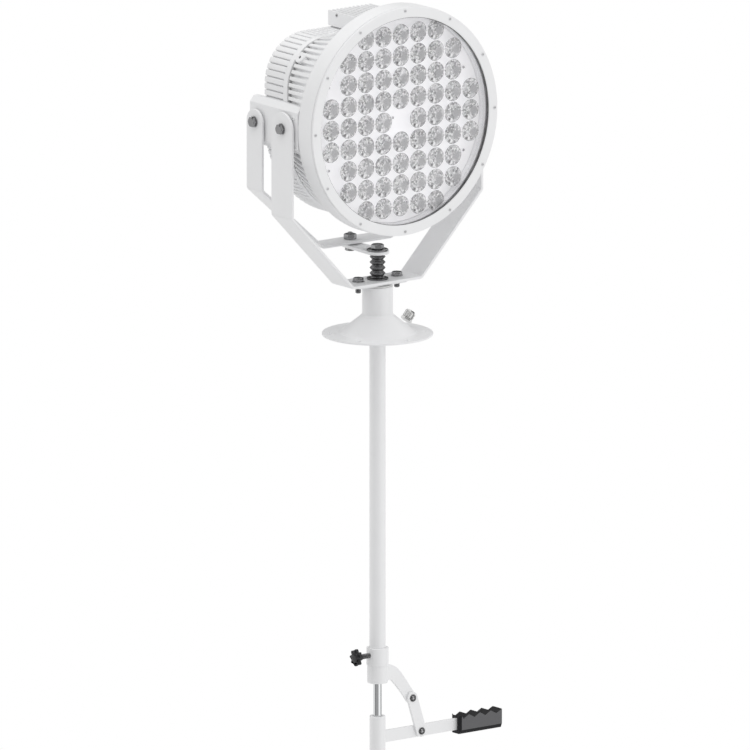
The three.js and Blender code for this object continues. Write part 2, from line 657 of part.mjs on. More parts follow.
function collarGeometry() {
  const bore = TUBE_RADIUS + GAP;
  const collar = latheZ([
    [bore, TUBE_BOTTOM], [COLLAR_LOWER_RADIUS, TUBE_BOTTOM], [COLLAR_LOWER_RADIUS, COLLAR_LEDGE],
    [COLLAR_RADIUS, COLLAR_LEDGE], [COLLAR_RADIUS, COLLAR_TOP], [bore, COLLAR_TOP], [bore, TUBE_BOTTOM],
  ]);
  return cut(collar, barX(6, 20).translate(-COLLAR_RADIUS, 0, KNOB_HEIGHT));
}

// Flat arm as tall as the collar's lower part at its root, slanting down to the link's upper pin.
function bracketArmGeometry() {
  const root = COLLAR_LOWER_RADIUS + GAP;
  const end = 12.5;
  const slant = Math.PI * 57 / 180;
  const across = new THREE.Vector2(Math.sin(slant), Math.cos(slant)).multiplyScalar(end);
  const inner = LINK_TOP.clone().sub(across);
  const outer = LINK_TOP.clone().add(across);
  const low = TUBE_BOTTOM + 0.8;
  const high = COLLAR_LEDGE - 3.5;
  const shape = new THREE.Shape();
  shape.moveTo(root, low);
  shape.lineTo(33, low);
  shape.bezierCurveTo(45, -746, 62, -766, inner.x, inner.y);
  shape.absarc(LINK_TOP.x, LINK_TOP.y, end, 1.5 * Math.PI - slant, 2.5 * Math.PI - slant, false);
  shape.bezierCurveTo(60, -723, 50, high, root, high);
  shape.holes.push(roundHole(LINK_TOP.x, LINK_TOP.y, 5.3));
  return extrudeAlongY(shape, -BAR_THICKNESS / 2, BAR_THICKNESS / 2, 7);
}

// Pin along Y through a bar and the link, with a domed head on each side.
function linkPinGeometry() {
  const rear = BAR_THICKNESS / 2 + GAP;
  const front = -BAR_THICKNESS / 2 - 2 * GAP - 5.7;
  return latheY([
    [0, front - 3.4], [4.5, front - 3], [7.5, front - 1.2], [7.5, front],
    [5, front], [5, rear], [7.5, rear], [7.5, rear + 1.2], [4.5, rear + 3], [0, rear + 3.4],
  ], 16);
}

function buildMast(parent) {
  addPart(parent, 'outer_tube', outerTubeGeometry(), WHITE_PAINT);
  addPart(parent, 'head_flange', headFlangeGeometry(), WHITE_PAINT);
  addPart(parent, 'front_yoke', frontYokeGeometry(), WHITE_PAINT);
  const headSeat = FRONT_YOKE_BASE + YOKE_THICKNESS + GAP;
  const baseBolt = () => boltGeometry(BASE_BOLT_LENGTH);
  addPart(parent, 'base_bolt_left', baseBolt(), BLACK_STEEL, [-BASE_BOLT_OFFSET, 0, headSeat]);
  addPart(parent, 'base_bolt_right', baseBolt(), BLACK_STEEL, [BASE_BOLT_OFFSET, 0, headSeat]);
  addPart(parent, 'bellows', bellowsGeometry(), BLACK_RUBBER);
  const rodBush = (low) => ringZ(ROD_BUSH_BORE, TUBE_BORE - GAP, low, low + ROD_BUSH_LENGTH, 24);
  addPart(parent, 'rod_bush_top', rodBush(TUBE_TOP - ROD_BUSH_LENGTH), NYLON);
  addPart(parent, 'rod_bush_bottom', rodBush(TUBE_BOTTOM), NYLON);
  addPart(parent, 'clamp_collar', collarGeometry(), WHITE_PAINT);
  addPart(parent, 'bracket_arm', bracketArmGeometry(), WHITE_PAINT);
  addPart(parent, 'upper_link_pin', linkPinGeometry(), BRIGHT_STEEL, [LINK_TOP.x, 0, LINK_TOP.y]);
}

// ---------- clamp knob ----------
function knobGeometry() {
  const lobes = 8;
  const points = Array.from({ length: lobes * 4 }, (_, i) => {
    const angle = (2 * Math.PI * i) / (lobes * 4);
    return polar(15.8 + 2.2 * Math.cos(lobes * angle), angle);
  });
  const star = extrude(new THREE.Shape(points), 14);
  return join(star, discZ(5.6, -38.7, 1, 16)).rotateY(-Math.PI / 2);
}

// ---------- push rod and what it carries ----------
function linkPlateGeometry() {
  const shape = new THREE.Shape();
  const eye = 24;
  const tail = 19;
  shape.absarc(0, 0, eye, Math.PI, 2 * Math.PI, false);
  shape.absarc(0, REAR_PIVOT_BEHIND, tail, 0, Math.PI, false);
  shape.holes.push(roundHole(0, 0, STUD_RADIUS + GAP), roundHole(0, REAR_PIVOT_BEHIND, BOLT_HOLE));
  return extrude(shape, LINK_PLATE_THICKNESS, 7).translate(0, 0, LINK_PLATE_BOTTOM);
}

function handleTubeGeometry() {
  const bore = 13.9;
  const socket = ROD_RADIUS + GAP;
  const socketEnd = ROD_BOTTOM - GAP;
  const tube = latheZ([
    [bore, HANDLE_TUBE_BOTTOM], [HANDLE_TUBE_RADIUS, HANDLE_TUBE_BOTTOM],
    [HANDLE_TUBE_RADIUS, HANDLE_TUBE_TOP], [socket, HANDLE_TUBE_TOP],
    [socket, socketEnd], [bore, socketEnd], [bore, HANDLE_TUBE_BOTTOM],
  ]);
  const slotHalfWidth = 3.8;
  const slotHalfHeight = 25;
  return cut(tube, block(
    [0, -slotHalfWidth, LEVER_HEIGHT - slotHalfHeight],
    [2 * HANDLE_TUBE_RADIUS, slotHalfWidth, LEVER_HEIGHT + slotHalfHeight],
  ));
}

function buildRod(parent) {
  const plateTop = LINK_PLATE_BOTTOM + LINK_PLATE_THICKNESS;
  const washerTop = plateTop + GAP + 3;
  const nutBottom = washerTop + GAP;
  const nutTop = nutBottom + 9.5;
  const studTop = nutTop - 3.5;
  addPart(parent, 'push_rod', latheZ([
    [0, ROD_BOTTOM], [ROD_RADIUS, ROD_BOTTOM], [ROD_RADIUS, ROD_SHOULDER],
    [STUD_RADIUS, ROD_SHOULDER], [STUD_RADIUS, studTop], [0, studTop],
  ], 24), CHROME);
  addPart(parent, 'link_plate', linkPlateGeometry(), WHITE_PAINT);
  addPart(parent, 'rod_washer', ringZ(STUD_RADIUS + GAP, 22.5, plateTop + GAP, washerTop), BLACK_STEEL);
  const capNut = hexagonZ(NUT_RADIUS, nutBottom, nutTop);
  const studBore = discZ(STUD_RADIUS + GAP, 0, studTop + GAP, 16);
  addPart(parent, 'rod_cap_nut', cut(capNut, studBore), BLACK_STEEL);
  buildLinkBolt(parent, plateTop);
  addPart(parent, 'handle_tube', handleTubeGeometry(), WHITE_PAINT);
  addPart(parent, 'end_cap', latheZ([
    [0, HANDLE_TUBE_BOTTOM - 3], [HANDLE_TUBE_RADIUS, HANDLE_TUBE_BOTTOM - 3],
    [HANDLE_TUBE_RADIUS, HANDLE_TUBE_BOTTOM - GAP], [13.5, HANDLE_TUBE_BOTTOM - GAP],
    [13.5, HANDLE_TUBE_BOTTOM + 12], [0, HANDLE_TUBE_BOTTOM + 12],
  ], 24), BLACK_PLASTIC);
}

// Bolt up through the tail of the link plate and the rear yoke's crossbar, with its glide washer and nut.
function buildLinkBolt(parent, plateTop) {
  const group = new THREE.Group();
  group.position.y = REAR_PIVOT_BEHIND;
  parent.add(group);
  const bolt = boltGeometry(LINK_BOLT_LENGTH).rotateX(Math.PI);
  addPart(group, 'link_bolt', bolt, BLACK_STEEL, [0, 0, LINK_PLATE_BOTTOM - GAP]);
  const glideBottom = plateTop + GAP;
  const glide = ringZ(BOLT_HOLE, 16, glideBottom, glideBottom + GLIDE_THICKNESS, 24);
  addPart(group, 'glide_washer', glide, NYLON);
  const nutBottom = REAR_YOKE_BASE + YOKE_THICKNESS + 0.5;
  const nut = hexagonZ(NUT_RADIUS, nutBottom, nutBottom + 10.5);
  const thread = discZ(BOLT_RADIUS + GAP, 0, 2 * nutBottom, 16);
  addPart(group, 'link_nut', cut(nut, thread), BLACK_STEEL);
}

// ---------- link and lever ----------
function linkBarGeometry() {
  const half = LINK_WIDTH / 2;
  const length = LINK_TOP.distanceTo(LINK_BOTTOM);
  const shape = new THREE.Shape();
  shape.absarc(0, 0, half, 0, Math.PI, false);
  shape.absarc(0, -length, half, Math.PI, 2 * Math.PI, false);
  shape.holes.push(roundHole(0, 0, 5.4), roundHole(0, -length, 5.4));
  const front = -BAR_THICKNESS / 2 - GAP - 5.7;
  return extrudeAlongY(shape, front, front + 5.7, 7);
}

// Bar with a narrow inner end that works in the handle tube's slot.
function leverBarGeometry() {
  const half = LINK_WIDTH / 2;
  const neck = 7.5;
  const neckEnd = 14.5;
  const shape = new THREE.Shape(corners([
    [-6, -neck], [neckEnd, -neck], [neckEnd, -half], [LEVER_END, -half],
    [LEVER_END, half], [neckEnd, half], [neckEnd, neck], [-6, neck],
  ]));
  shape.holes.push(roundHole(LINK_BOTTOM.x, 0, 5.3));
  return extrudeAlongY(shape, -BAR_THICKNESS / 2, BAR_THICKNESS / 2, 7);
}

// Moulded grip with four finger grooves along its top.
function gripGeometry() {
  const low = -GRIP_HEIGHT / 2;
  const high = GRIP_HEIGHT / 2;
  const end = GRIP_START + GRIP_LENGTH;
  const chamfer = 5;
  const grooveDepth = 7.5;
  const pitch = 28.4;
  const firstGroove = GRIP_START + 9;
  const points = [
    [GRIP_START, low + chamfer], [GRIP_START + chamfer, low], [end - chamfer, low], [end, low + chamfer],
    [end, high],
  ];
  for (let i = 3; i >= 0; i -= 1) {
    const groove = firstGroove + i * pitch;
    if (i < 3) points.push([groove + pitch / 2 + 1, high], [groove + pitch / 2 - 1, high]);
    points.push([groove, high - grooveDepth]);
  }
  points.push([GRIP_START, high - 0.5]);
  const body = extrudeAlongY(new THREE.Shape(corners(points)), -GRIP_WIDTH / 2, GRIP_WIDTH / 2);
  const half = LINK_WIDTH / 2 + GAP;
  const slot = block(
    [GRIP_START - 5, -BAR_THICKNESS / 2 - GAP, -half],
    [LEVER_END + GAP, BAR_THICKNESS / 2 + GAP, half],
  );
  return cut(body, slot);
}

function buildHandle(parent) {
  const swing = LINK_BOTTOM.clone().sub(LINK_TOP);
  const lean = Math.atan2(swing.x, -swing.y);
  addPart(parent, 'link_bar', linkBarGeometry(), WHITE_PAINT, [LINK_TOP.x, 0, LINK_TOP.y], [0, -lean, 0]);
  const lever = new THREE.Group();
  lever.position.z = LEVER_HEIGHT;
  parent.add(lever);
  addPart(lever, 'lever_bar', leverBarGeometry(), WHITE_PAINT);
  addPart(lever, 'grip', gripGeometry(), GREY_GRIP);
  addPart(lever, 'lower_link_pin', linkPinGeometry(), BRIGHT_STEEL, [LINK_BOTTOM.x, 0, 0]);
}

// ---------- the whole searchlight ----------
const group = new THREE.Group();
const panAxis = new THREE.Group();
panAxis.position.y = PAN_AXIS_BEHIND_DATUM;
group.add(panAxis);
buildPedestal(panAxis);
buildMast(panAxis);
addPart(panAxis, 'clamp_knob', knobGeometry(), BLACK_PLASTIC, [-48, 0, KNOB_HEIGHT]);
buildRod(panAxis);
buildHandle(panAxis);
buildRearYoke(panAxis);
buildLamp(panAxis);

export default group;
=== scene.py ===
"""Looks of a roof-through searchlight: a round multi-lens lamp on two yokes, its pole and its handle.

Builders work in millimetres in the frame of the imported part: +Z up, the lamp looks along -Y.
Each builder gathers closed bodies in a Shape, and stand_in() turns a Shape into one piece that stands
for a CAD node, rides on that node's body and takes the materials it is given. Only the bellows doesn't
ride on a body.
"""

import json
import math

import bmesh
import bpy
from mathutils import Matrix, Vector

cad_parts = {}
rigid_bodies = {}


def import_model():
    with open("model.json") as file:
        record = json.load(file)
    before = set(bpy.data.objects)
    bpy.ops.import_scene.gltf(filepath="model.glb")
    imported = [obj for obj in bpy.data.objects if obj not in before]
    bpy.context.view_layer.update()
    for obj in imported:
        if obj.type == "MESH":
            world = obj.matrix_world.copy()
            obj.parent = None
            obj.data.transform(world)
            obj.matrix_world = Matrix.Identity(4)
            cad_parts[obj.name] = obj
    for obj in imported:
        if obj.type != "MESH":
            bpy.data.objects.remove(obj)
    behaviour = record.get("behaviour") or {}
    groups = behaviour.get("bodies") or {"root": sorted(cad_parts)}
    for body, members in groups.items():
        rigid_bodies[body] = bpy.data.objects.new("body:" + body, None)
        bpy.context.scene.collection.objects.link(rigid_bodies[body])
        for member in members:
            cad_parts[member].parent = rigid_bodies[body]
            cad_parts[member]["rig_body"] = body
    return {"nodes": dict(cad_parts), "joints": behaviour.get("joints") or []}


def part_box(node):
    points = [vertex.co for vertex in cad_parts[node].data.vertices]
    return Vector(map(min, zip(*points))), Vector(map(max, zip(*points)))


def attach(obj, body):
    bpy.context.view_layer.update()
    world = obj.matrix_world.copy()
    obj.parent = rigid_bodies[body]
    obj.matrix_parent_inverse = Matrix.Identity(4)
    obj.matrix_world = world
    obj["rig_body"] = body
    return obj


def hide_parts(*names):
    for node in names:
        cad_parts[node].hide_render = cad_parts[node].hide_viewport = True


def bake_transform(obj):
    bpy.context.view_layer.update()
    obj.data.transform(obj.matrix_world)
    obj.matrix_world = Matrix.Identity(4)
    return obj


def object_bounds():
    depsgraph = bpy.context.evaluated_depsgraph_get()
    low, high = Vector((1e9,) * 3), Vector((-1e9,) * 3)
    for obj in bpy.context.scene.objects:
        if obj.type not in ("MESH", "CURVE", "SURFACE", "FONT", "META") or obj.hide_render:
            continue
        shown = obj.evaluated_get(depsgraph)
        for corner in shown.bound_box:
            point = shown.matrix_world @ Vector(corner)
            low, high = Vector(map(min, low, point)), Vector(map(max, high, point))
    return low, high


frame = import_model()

cad_low, cad_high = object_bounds()

MM = 0.001
SIDES = ((1, "right"), (-1, "left"))
IDENTITY = Matrix.Identity(4)
SWAP_YZ = Matrix(((1, 0, 0, 0), (0, 0, 1, 0), (0, 1, 0, 0), (0, 0, 0, 1)))  # takes a body's axis from Z to Y


# ---------- places taken from the frame ----------
def shift(x, y, z):
    return Matrix.Translation((x, y, z))


def direction(azimuth, elevation):
    """Direction seen from the object, in degrees; azimuth 0 is in front of it."""
    turn, rise = math.radians(azimuth), math.radians(elevation)
    return Vector((math.sin(turn) * math.cos(rise), -math.cos(turn) * math.cos(rise), math.sin(rise)))


def polar(radius, turn, *rest):
    """A point at a radius and a turn, followed by any further coordinates."""
    return (radius * math.cos(turn), radius * math.sin(turn), *rest)


def around(count):
    """Equal turns that add up to a full circle."""
    return [2 * math.pi * i / count for i in range(count)]


def box(name):
    """Lowest and highest corner of a CAD node, in millimetres."""
    low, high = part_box(name)
    return low / MM, high / MM


def depths(name):
    """Front and back of a CAD node, as depths behind the lamp's face."""
    low, high = box(name)
    return low.y - FACE_Y, high.y - FACE_Y


def joint_point(name):
    """A hinge's centre, in millimetres."""
    return next(Vector(joint["pos_m"]) / MM for joint in frame["joints"] if joint["name"] == name)


LAMP = joint_point("tilt")
REAR_PIVOT = joint_point("rear_yoke_pivot")
LINK_TOP = joint_point("link_swing")
LINK_BOTTOM = joint_point("lever_pivot")
KNOB = joint_point("clamp_turn")
AXIS_Y = LAMP.y
FACE_Y = box("bezel_ring")[0].y
PAN = shift(0, AXIS_Y, 0)
LAMP_FRONT = shift(0, FACE_Y, LAMP.z) @ SWAP_YZ  # local x, z and depth behind the bezel

BEZEL_RADIUS = box("bezel_ring")[1].x
BEZEL_DEPTH = depths("bezel_ring")[1]
WINDOW_RADIUS = 217
GLASS_RADIUS = box("front_glass")[1].x
GLASS_FRONT, GLASS_BACK = depths("front_glass")
LENS_FACE, CARRIER_BACK = depths("lens_array")
CARRIER_FRONT = CARRIER_BACK - 2
BAND_DEPTH, HOUSING_END = depths("rear_housing")
REAR_FINS_DEPTH = BAND_DEPTH + 14
SCREW_CIRCLE = 231.5
LENS_PITCH = 45
LENS_RADIUS = 22.1
RING_STEPS = 216  # sides of the large rings

HOUSING_HALF_WIDTH = 220
HOUSING_TOP = 176
HOUSING_CORNER = 100
HOUSING_LOWER_RADIUS = 221
HOUSING_WALL = 24
FIN_COUNT = 108
FIN_SHARES = (1.16, 0.72)  # a fin's root and its flat tip, as shares of its half width

# Where the fins give way to the side brackets and the top block: half width, depth and face of each seat.
BRACKET_HALF, BRACKET_START, BRACKET_SEAT = 50.6, 51.5, 217.6
BLOCK_HALF, BLOCK_START, BLOCK_SEAT = 55.6, 61, 177.4

YOKE_FACE = box("front_yoke")[1].x
YOKE_THICKNESS = 5.5
YOKE_FOOT = 88.1
BRACKET_FACE = 239
BOLT_RADIUS = 6
BOLT_ACROSS = 19
NUT_ACROSS = 23.4
TUBE_RADIUS = box("outer_tube")[1].x
PEDESTAL_TOP = box("pedestal")[1].z
FLANGE_RADIUS = box("pedestal")[1].x
ROD_RADIUS = box("push_rod")[1].x


# ---------- mesh helpers ----------
class Shape:
    """Points in millimetres and faces, gathered from closed bodies; kind is a face's material."""

    def __init__(self):
        self.points = []
        self.faces = []
        self.kinds = []
        self.locals = []

    def add(self, points, faces, place=IDENTITY, kind=0, local=None):
        first = len(self.points)
        self.points += [place @ Vector(point) for point in points]
        self.locals += local or [(0.0, 0.0)] * len(points)
        self.faces += [[first + i for i in face] for face in faces]
        self.kinds += [kind] * len(faces)
        return self


def loft(shape, loops, place=IDENTITY, kind=0, closed=False, caps=True):
    """Skins over loops of equal length; the ends are capped, or joined to each other when closed."""
    count, rows = len(loops[0]), len(loops)
    faces = []
    for row in range(rows if closed else rows - 1):
        a, b = row * count, ((row + 1) % rows) * count
        faces += [[a + i, a + (i + 1) % count, b + (i + 1) % count, b + i] for i in range(count)]
    if caps and not closed:
        faces += [list(range(count)), list(range((rows - 1) * count, rows * count))]
    return shape.add([point for loop in loops for point in loop], faces, place, kind)


def revolve(shape, profile, place=IDENTITY, kind=0, steps=96, bend=None):
    """Turns (radius, height) pairs round Z; a profile starts and ends on the axis, or closes on itself."""
    points, faces, rings = [], [], []
    closed = profile[0][0] > 0
    for radius, height in profile:
        start = len(points)
        if radius < 1e-4:
            points.append((0, 0, height))
            rings.append([start])
            continue
        points += [polar(radius, turn, height) for turn in around(steps)]
        rings.append(list(range(start, start + steps)))
    for a, b in zip(rings, rings[1:] + (rings[:1] if closed else [])):
        for i in range(steps):
            j = (i + 1) % steps
            quad = [a[i % len(a)], a[j % len(a)], b[j % len(b)], b[i % len(b)]]
            faces.append(list(dict.fromkeys(quad)))
    if bend:
        points = [bend(*point) for point in points]
    return shape.add(points, faces, place, kind)


def rounded(corners, radius, closed=True, steps=3):
    """Corners turned into short curves; a corner may carry its own radius as a third number."""
    result = []
    for i, corner in enumerate(corners):
        here = Vector(corner[:2])
        wanted = corner[2] if len(corner) > 2 else radius
        if wanted <= 0 or (not closed and i in (0, len(corners) - 1)):
            result.append(tuple(here))
            continue
        back = Vector(corners[i - 1][:2]) - here
        ahead = Vector(corners[(i + 1) % len(corners)][:2]) - here
        turn = math.pi - back.angle(ahead)
        reach = min(wanted * math.tan(turn / 2), 0.49 * back.length, 0.49 * ahead.length)
        start, end = here + back.normalized() * reach, here + ahead.normalized() * reach
        for k in range(steps + 1):
            t = k / steps
            result.append(tuple(start * (1 - t) ** 2 + here * (2 * t * (1 - t)) + end * t * t))
    return result


def arc(centre, radius, start, end, steps):
    """Points on a circle, between two angles in degrees."""
    turns = [math.radians(start + (end - start) * k / steps) for k in range(steps + 1)]
    return [(centre[0] + radius * math.cos(t), centre[1] + radius * math.sin(t)) for t in turns]


def curve(p0, p1, p2, p3, steps=16):
    """Points on a cubic curve, without its first point."""
    a, b, c, d = (Vector(point) for point in (p0, p1, p2, p3))
    return [
        tuple(a * (1 - t) ** 3 + b * 3 * t * (1 - t) ** 2 + c * 3 * t * t * (1 - t) + d * t**3)
        for t in (k / steps for k in range(1, steps + 1))
    ]


def inset(outline, distance):
    """A closed outline moved inwards along its mitred corners."""
    count = len(outline)
    turns = sum(outline[i - 1].cross(outline[i]) for i in range(count))
    side = 1 if turns > 0 else -1
    moved = []
    for i, point in enumerate(outline):
        before = (point - outline[i - 1]).normalized()
        after = (outline[(i + 1) % count] - point).normalized()
        across = Vector((before.y + after.y, -before.x - after.x)) * side
        moved.append(point - across * (2 * distance / max(across.length_squared, 0.5)))
    return moved


def edge_layers(low, high, edge, steps):
    """Inset and height of a plate's layers, with a quarter round at each of its two faces."""
    quarter = [math.radians(90 * k / steps) for k in range(steps + 1)]
    rises = [(edge * (1 - math.sin(t)), edge * (1 - math.cos(t))) for t in quarter]
    return [(i, low + rise) for i, rise in rises] + [(i, high - rise) for i, rise in reversed(rises)]


def slab(shape, outline, low, high, edge=0.8, place=IDENTITY, kind=0, steps=3):
    """Plate between two heights, with rounded edges along its outline."""
    outline = [Vector(point) for point in outline]
    layers = edge_layers(low, high, edge, steps)
    loops = [[(p.x, p.y, height) for p in inset(outline, i)] for i, height in layers]
    return loft(shape, loops, place, kind)


def turned(shape, corners, radius, place=IDENTITY, kind=0, steps=96, fine=3, bend=None):
    """Turns a profile with rounded corners round Z."""
    return revolve(shape, rounded(corners, radius, corners[0][0] > 0, fine), place, kind, steps, bend)


def disc(radius, low, high, lower=0.4, upper=0.4, bore=0, inner=0):
    """Profile of a disc, or of a ring with a bore, and the rounding of its outer and inner edges."""
    return [(bore, low, inner), (radius, low, lower), (radius, high, upper), (bore, high, inner)]


def rectangle(low_x, low_y, high_x, high_y, radius=1.0, steps=4):
    corners = [(low_x, low_y), (high_x, low_y), (high_x, high_y), (low_x, high_y)]
    return rounded(corners, radius, steps=steps)


def turned_to(way, origin):
    """A placement that takes local Z to a direction and the origin to a point."""
    turn = Vector((0, 0, 1)).rotation_difference(Vector(way)).to_matrix().to_4x4()
    return Matrix.Translation(origin) @ turn


def strap(shape, corners, width, thickness, bend, place=IDENTITY, edge=0.8):
    """Flat bar along corners in (x, z), with round bends and full-round ends across y."""
    half = width / 2
    layers = edge_layers(-thickness / 2, thickness / 2, edge, 4)

    def row(base, along, normal, swing=0.0):
        """One cross-section; swing runs from 0 at the full width to 90 degrees at the tip."""
        sides = []
        for side, order in ((1, layers), (-1, layers[::-1])):
            for i, height in order:
                reach = half - i
                at = base + along * (reach * math.sin(swing)) + normal * height
                sides.append((at.x, side * reach * math.cos(swing), at.y))
        return sides

    points = [Vector(corner) for corner in corners]
    ways = [(b - a).normalized() for a, b in zip(points, points[1:])]
    normal_of = lambda way: Vector((-way.y, way.x))
    swings = [math.radians(90 * k / 12) for k in range(13)]
    rows = [row(points[0] + ways[0] * half, -ways[0], normal_of(ways[0]), s) for s in reversed(swings)]
    for here, before, after in zip(points[1:], ways, ways[1:]):
        turn = math.atan2(before.cross(after), before.dot(after))
        start = here - before * (bend * math.tan(abs(turn) / 2))
        centre = start + normal_of(before) * math.copysign(bend, turn)
        for k in range(9):
            swung = Matrix.Rotation(turn * k / 8, 2)
            normal = swung @ normal_of(before)
            rows.append(row(centre - normal * math.copysign(bend, turn), swung @ before, normal))
    rows += [row(points[-1] - ways[-1] * half, ways[-1], normal_of(ways[-1]), s) for s in swings]
    return loft(shape, rows, place, caps=False)


def hexagon(shape, across, height, place, kind=0, both=False):
    """Hexagon head or nut standing on its place, its corners turned off in a cone."""
    flat, steps = across / 2, 72
    turns = around(steps)
    reach = [flat / math.cos((turn + math.pi / 6) % (math.pi / 3) - math.pi / 6) for turn in turns]
    crown = 0.95 * flat

    def loop(radii, heights):
        return [polar(r, t, h) for r, t, h in zip(radii, turns, heights)]

    fall = [(r - crown) * 0.5 for r in reach]
    loops = [loop(reach, [0.0] * steps)]
    if both:
        loops = [loop([crown] * steps, [0.0] * steps), loop(reach, fall)]
    loops.append(loop(reach, [height - f for f in fall]))
    loops.append(loop([crown] * steps, [height] * steps))
    if not both:
        loops.append(loop([crown * 0.72] * steps, [height] * steps))
        loops.append(loop([crown * 0.66] * steps, [height - 0.35] * steps))
    loft(shape, loops, place, kind)


def thread(radius, low, high, pitch=1.75):
    """Profile of a threaded rod end, from its tip at the low end up to the axis at the high end."""
    profile = [(0, low), (radius - 1.6, low), (radius - 0.9, low + 0.8)]
    turns = max(1, int((high - low - 1) / pitch))
    for k in range(turns):
        base = low + 0.8 + k * pitch
        profile += [(radius - 0.9, base + 0.15), (radius, base + 0.8), (radius, base + 1.0)]
    return profile + [(radius, high), (0, high)]


def build(shape, name, materials, flat=(), smooth=38):
    """Makes the mesh object: metres, merged points, outward normals and smooth shading below an angle."""
    mesh = bpy.data.meshes.new(name)
    work = bmesh.new()
    layer = work.loops.layers.uv.new("local")
    vertices = [work.verts.new(point * MM) for point in shape.points]
    for face, kind in zip(shape.faces, shape.kinds):
        if len(face) < 3:
            continue
        made = work.faces.new([vertices[i] for i in face])
        made.material_index = kind
        made.smooth = kind not in flat
        for loop, i in zip(made.loops, face):
            loop[layer].uv = shape.locals[i]
    bmesh.ops.remove_doubles(work, verts=work.verts, dist=1e-6)
    bmesh.ops.dissolve_degenerate(work, edges=work.edges, dist=1e-7)
    bmesh.ops.recalc_face_normals(work, faces=work.faces)
    work.to_mesh(mesh)
    work.free()
    for material in materials:
        mesh.materials.append(material)
    made = bpy.data.objects.new(name, mesh)
    bpy.context.scene.collection.objects.link(made)
    settle(made, smooth)
    return made


def settle(piece, smooth=38):
    """Sharp edges above an angle, and flat faces that stay flat beside rounded edges."""
    piece.data.set_sharp_from_angle(angle=math.radians(smooth))
    weighted = piece.modifiers.new("even_faces", "WEIGHTED_NORMAL")
    weighted.keep_sharp = True


def carve(piece, cuts):
    """Cuts closed shapes out of a piece."""
    tools = [build(cut, "cutting_tool", []) for cut in cuts]
    piece.modifiers.clear()
    for tool in tools:
        cut = piece.modifiers.new("cut", "BOOLEAN")
        cut.operation, cut.solver, cut.object = "DIFFERENCE", "EXACT", tool
    bpy.context.view_layer.update()
    result = bpy.data.meshes.new_from_object(piece.evaluated_get(bpy.context.evaluated_depsgraph_get()))
    piece.modifiers.clear()
    piece.data = result
    for tool in tools:
        bpy.data.objects.remove(tool)
    settle(piece)


def stand_in(shape, name, *materials, cuts=(), rides=True, **options):
    """The shape, less its cuts, shows in place of a CAD node, on its body and in the materials given."""
    piece = build(shape, name + "_finished", materials, **options)
    if cuts:
        carve(piece, cuts)
    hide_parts(name)
    if rides:
        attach(piece, frame["nodes"][name]["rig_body"])
    return piece


def spin_in(name, corners, radius, place, *materials, steps=96, fine=3):
    """A turned piece in place of a CAD node."""
    stand_in(turned(Shape(), corners, radius, place, steps=steps, fine=fine), name, *materials)


# ---------- materials ----------
def node(tree, kind, inputs=None, **settings):
    """One shader node; an input is a value or another node's output."""
    made = tree.nodes.new("ShaderNode" + kind)
    for key, value in settings.items():
        setattr(made, key, value)
    for key, value in (inputs or {}).items():
        if isinstance(value, bpy.types.NodeSocket):
            tree.links.new(value, made.inputs[key])
        else:
            made.inputs[key].default_value = value
    return made


def blank(name):
    """An empty node material and its output."""
    material = bpy.data.materials.new(name)
    material.use_nodes = True
    material.node_tree.nodes.clear()
    return material, material.node_tree, node(material.node_tree, "OutputMaterial")


def noise(tree, place, size_mm, detail=3.0, stretch=None):
    """Noise with features of about a size; stretch scales the axes against each other."""
    if stretch:
        place = node(tree, "Mapping", {"Vector": place, "Scale": stretch}).outputs[0]
    return node(tree, "TexNoise", {"Vector": place, "Scale": 1000 / size_mm, "Detail": detail}).outputs[0]


def cells(tree, place, size_mm):
    """Cells of about a size, each with its own random colour."""
    return node(tree, "TexVoronoi", {"Vector": place, "Scale": 1000 / size_mm})


def mix_colour(tree, share, first, second):
    made = node(tree, "Mix", data_type="RGBA")
    for socket, value in ((made.inputs[0], share), (made.inputs[6], first), (made.inputs[7], second)):
        if isinstance(value, bpy.types.NodeSocket):
            tree.links.new(value, socket)
        else:
            socket.default_value = value
    return made.outputs[2]


def maths(tree, operation, first, second):
    return node(tree, "Math", {0: first, 1: second}, operation=operation).outputs[0]


def ranged(tree, value, low, high, to_low, to_high):
    return node(tree, "MapRange", {0: value, 1: low, 2: high, 3: to_low, 4: to_high}).outputs[0]


def shade(colour, factor):
    return [channel * factor for channel in colour[:3]] + [1]


def finish(name, colour, roughness, metallic=0.0, spread=0.05, grain=1.2, relief=0.03, mottle=0.03,
           wear_and_sheen=None, coat=0.0, stretch=None, specular=0.5):
    """Principled finish: mottled colour, uneven roughness, a fine relief and convex edges turned to another
    colour, partly wear and partly a painted highlight.
    """
    material, tree, output = blank(name)
    place = node(tree, "TexCoord").outputs["Object"]
    broad, fine = noise(tree, place, 45, 2.0), noise(tree, place, grain, 3.0, stretch)
    dull, duller = shade(colour, 1 - mottle), shade(colour, 1 - 2 * mottle)
    base = mix_colour(tree, ranged(tree, broad, 0.3, 0.7, 0, 1), dull, shade(colour, 1))
    base = mix_colour(tree, ranged(tree, fine, 0.35, 0.65, 0, mottle * 4), base, duller)
    if wear_and_sheen:
        # Convex edges take the wear_and_sheen colour: partly wear, partly a painted highlight on the edges.
        ridge = node(tree, "NewGeometry").outputs["Pointiness"]
        wear_and_sheen_mask = maths(tree, "MULTIPLY", ranged(tree, ridge, 0.53, 0.60, 0, 0.8), fine)
        base = mix_colour(tree, wear_and_sheen_mask, base, shade(wear_and_sheen, 1))
    rough = ranged(tree, fine, 0.3, 0.7, roughness - spread, roughness + spread)
    bump = node(tree, "Bump", {"Height": fine, "Distance": relief * MM, "Strength": 1.0})
    shader = node(tree, "BsdfPrincipled", {
        "Base Color": base, "Roughness": rough, "Metallic": metallic, "Normal": bump.outputs[0],
        "Coat Weight": coat, "Coat Roughness": 0.2, "Specular IOR Level": specular,
    })
    tree.links.new(shader.outputs[0], output.inputs[0])
    return material


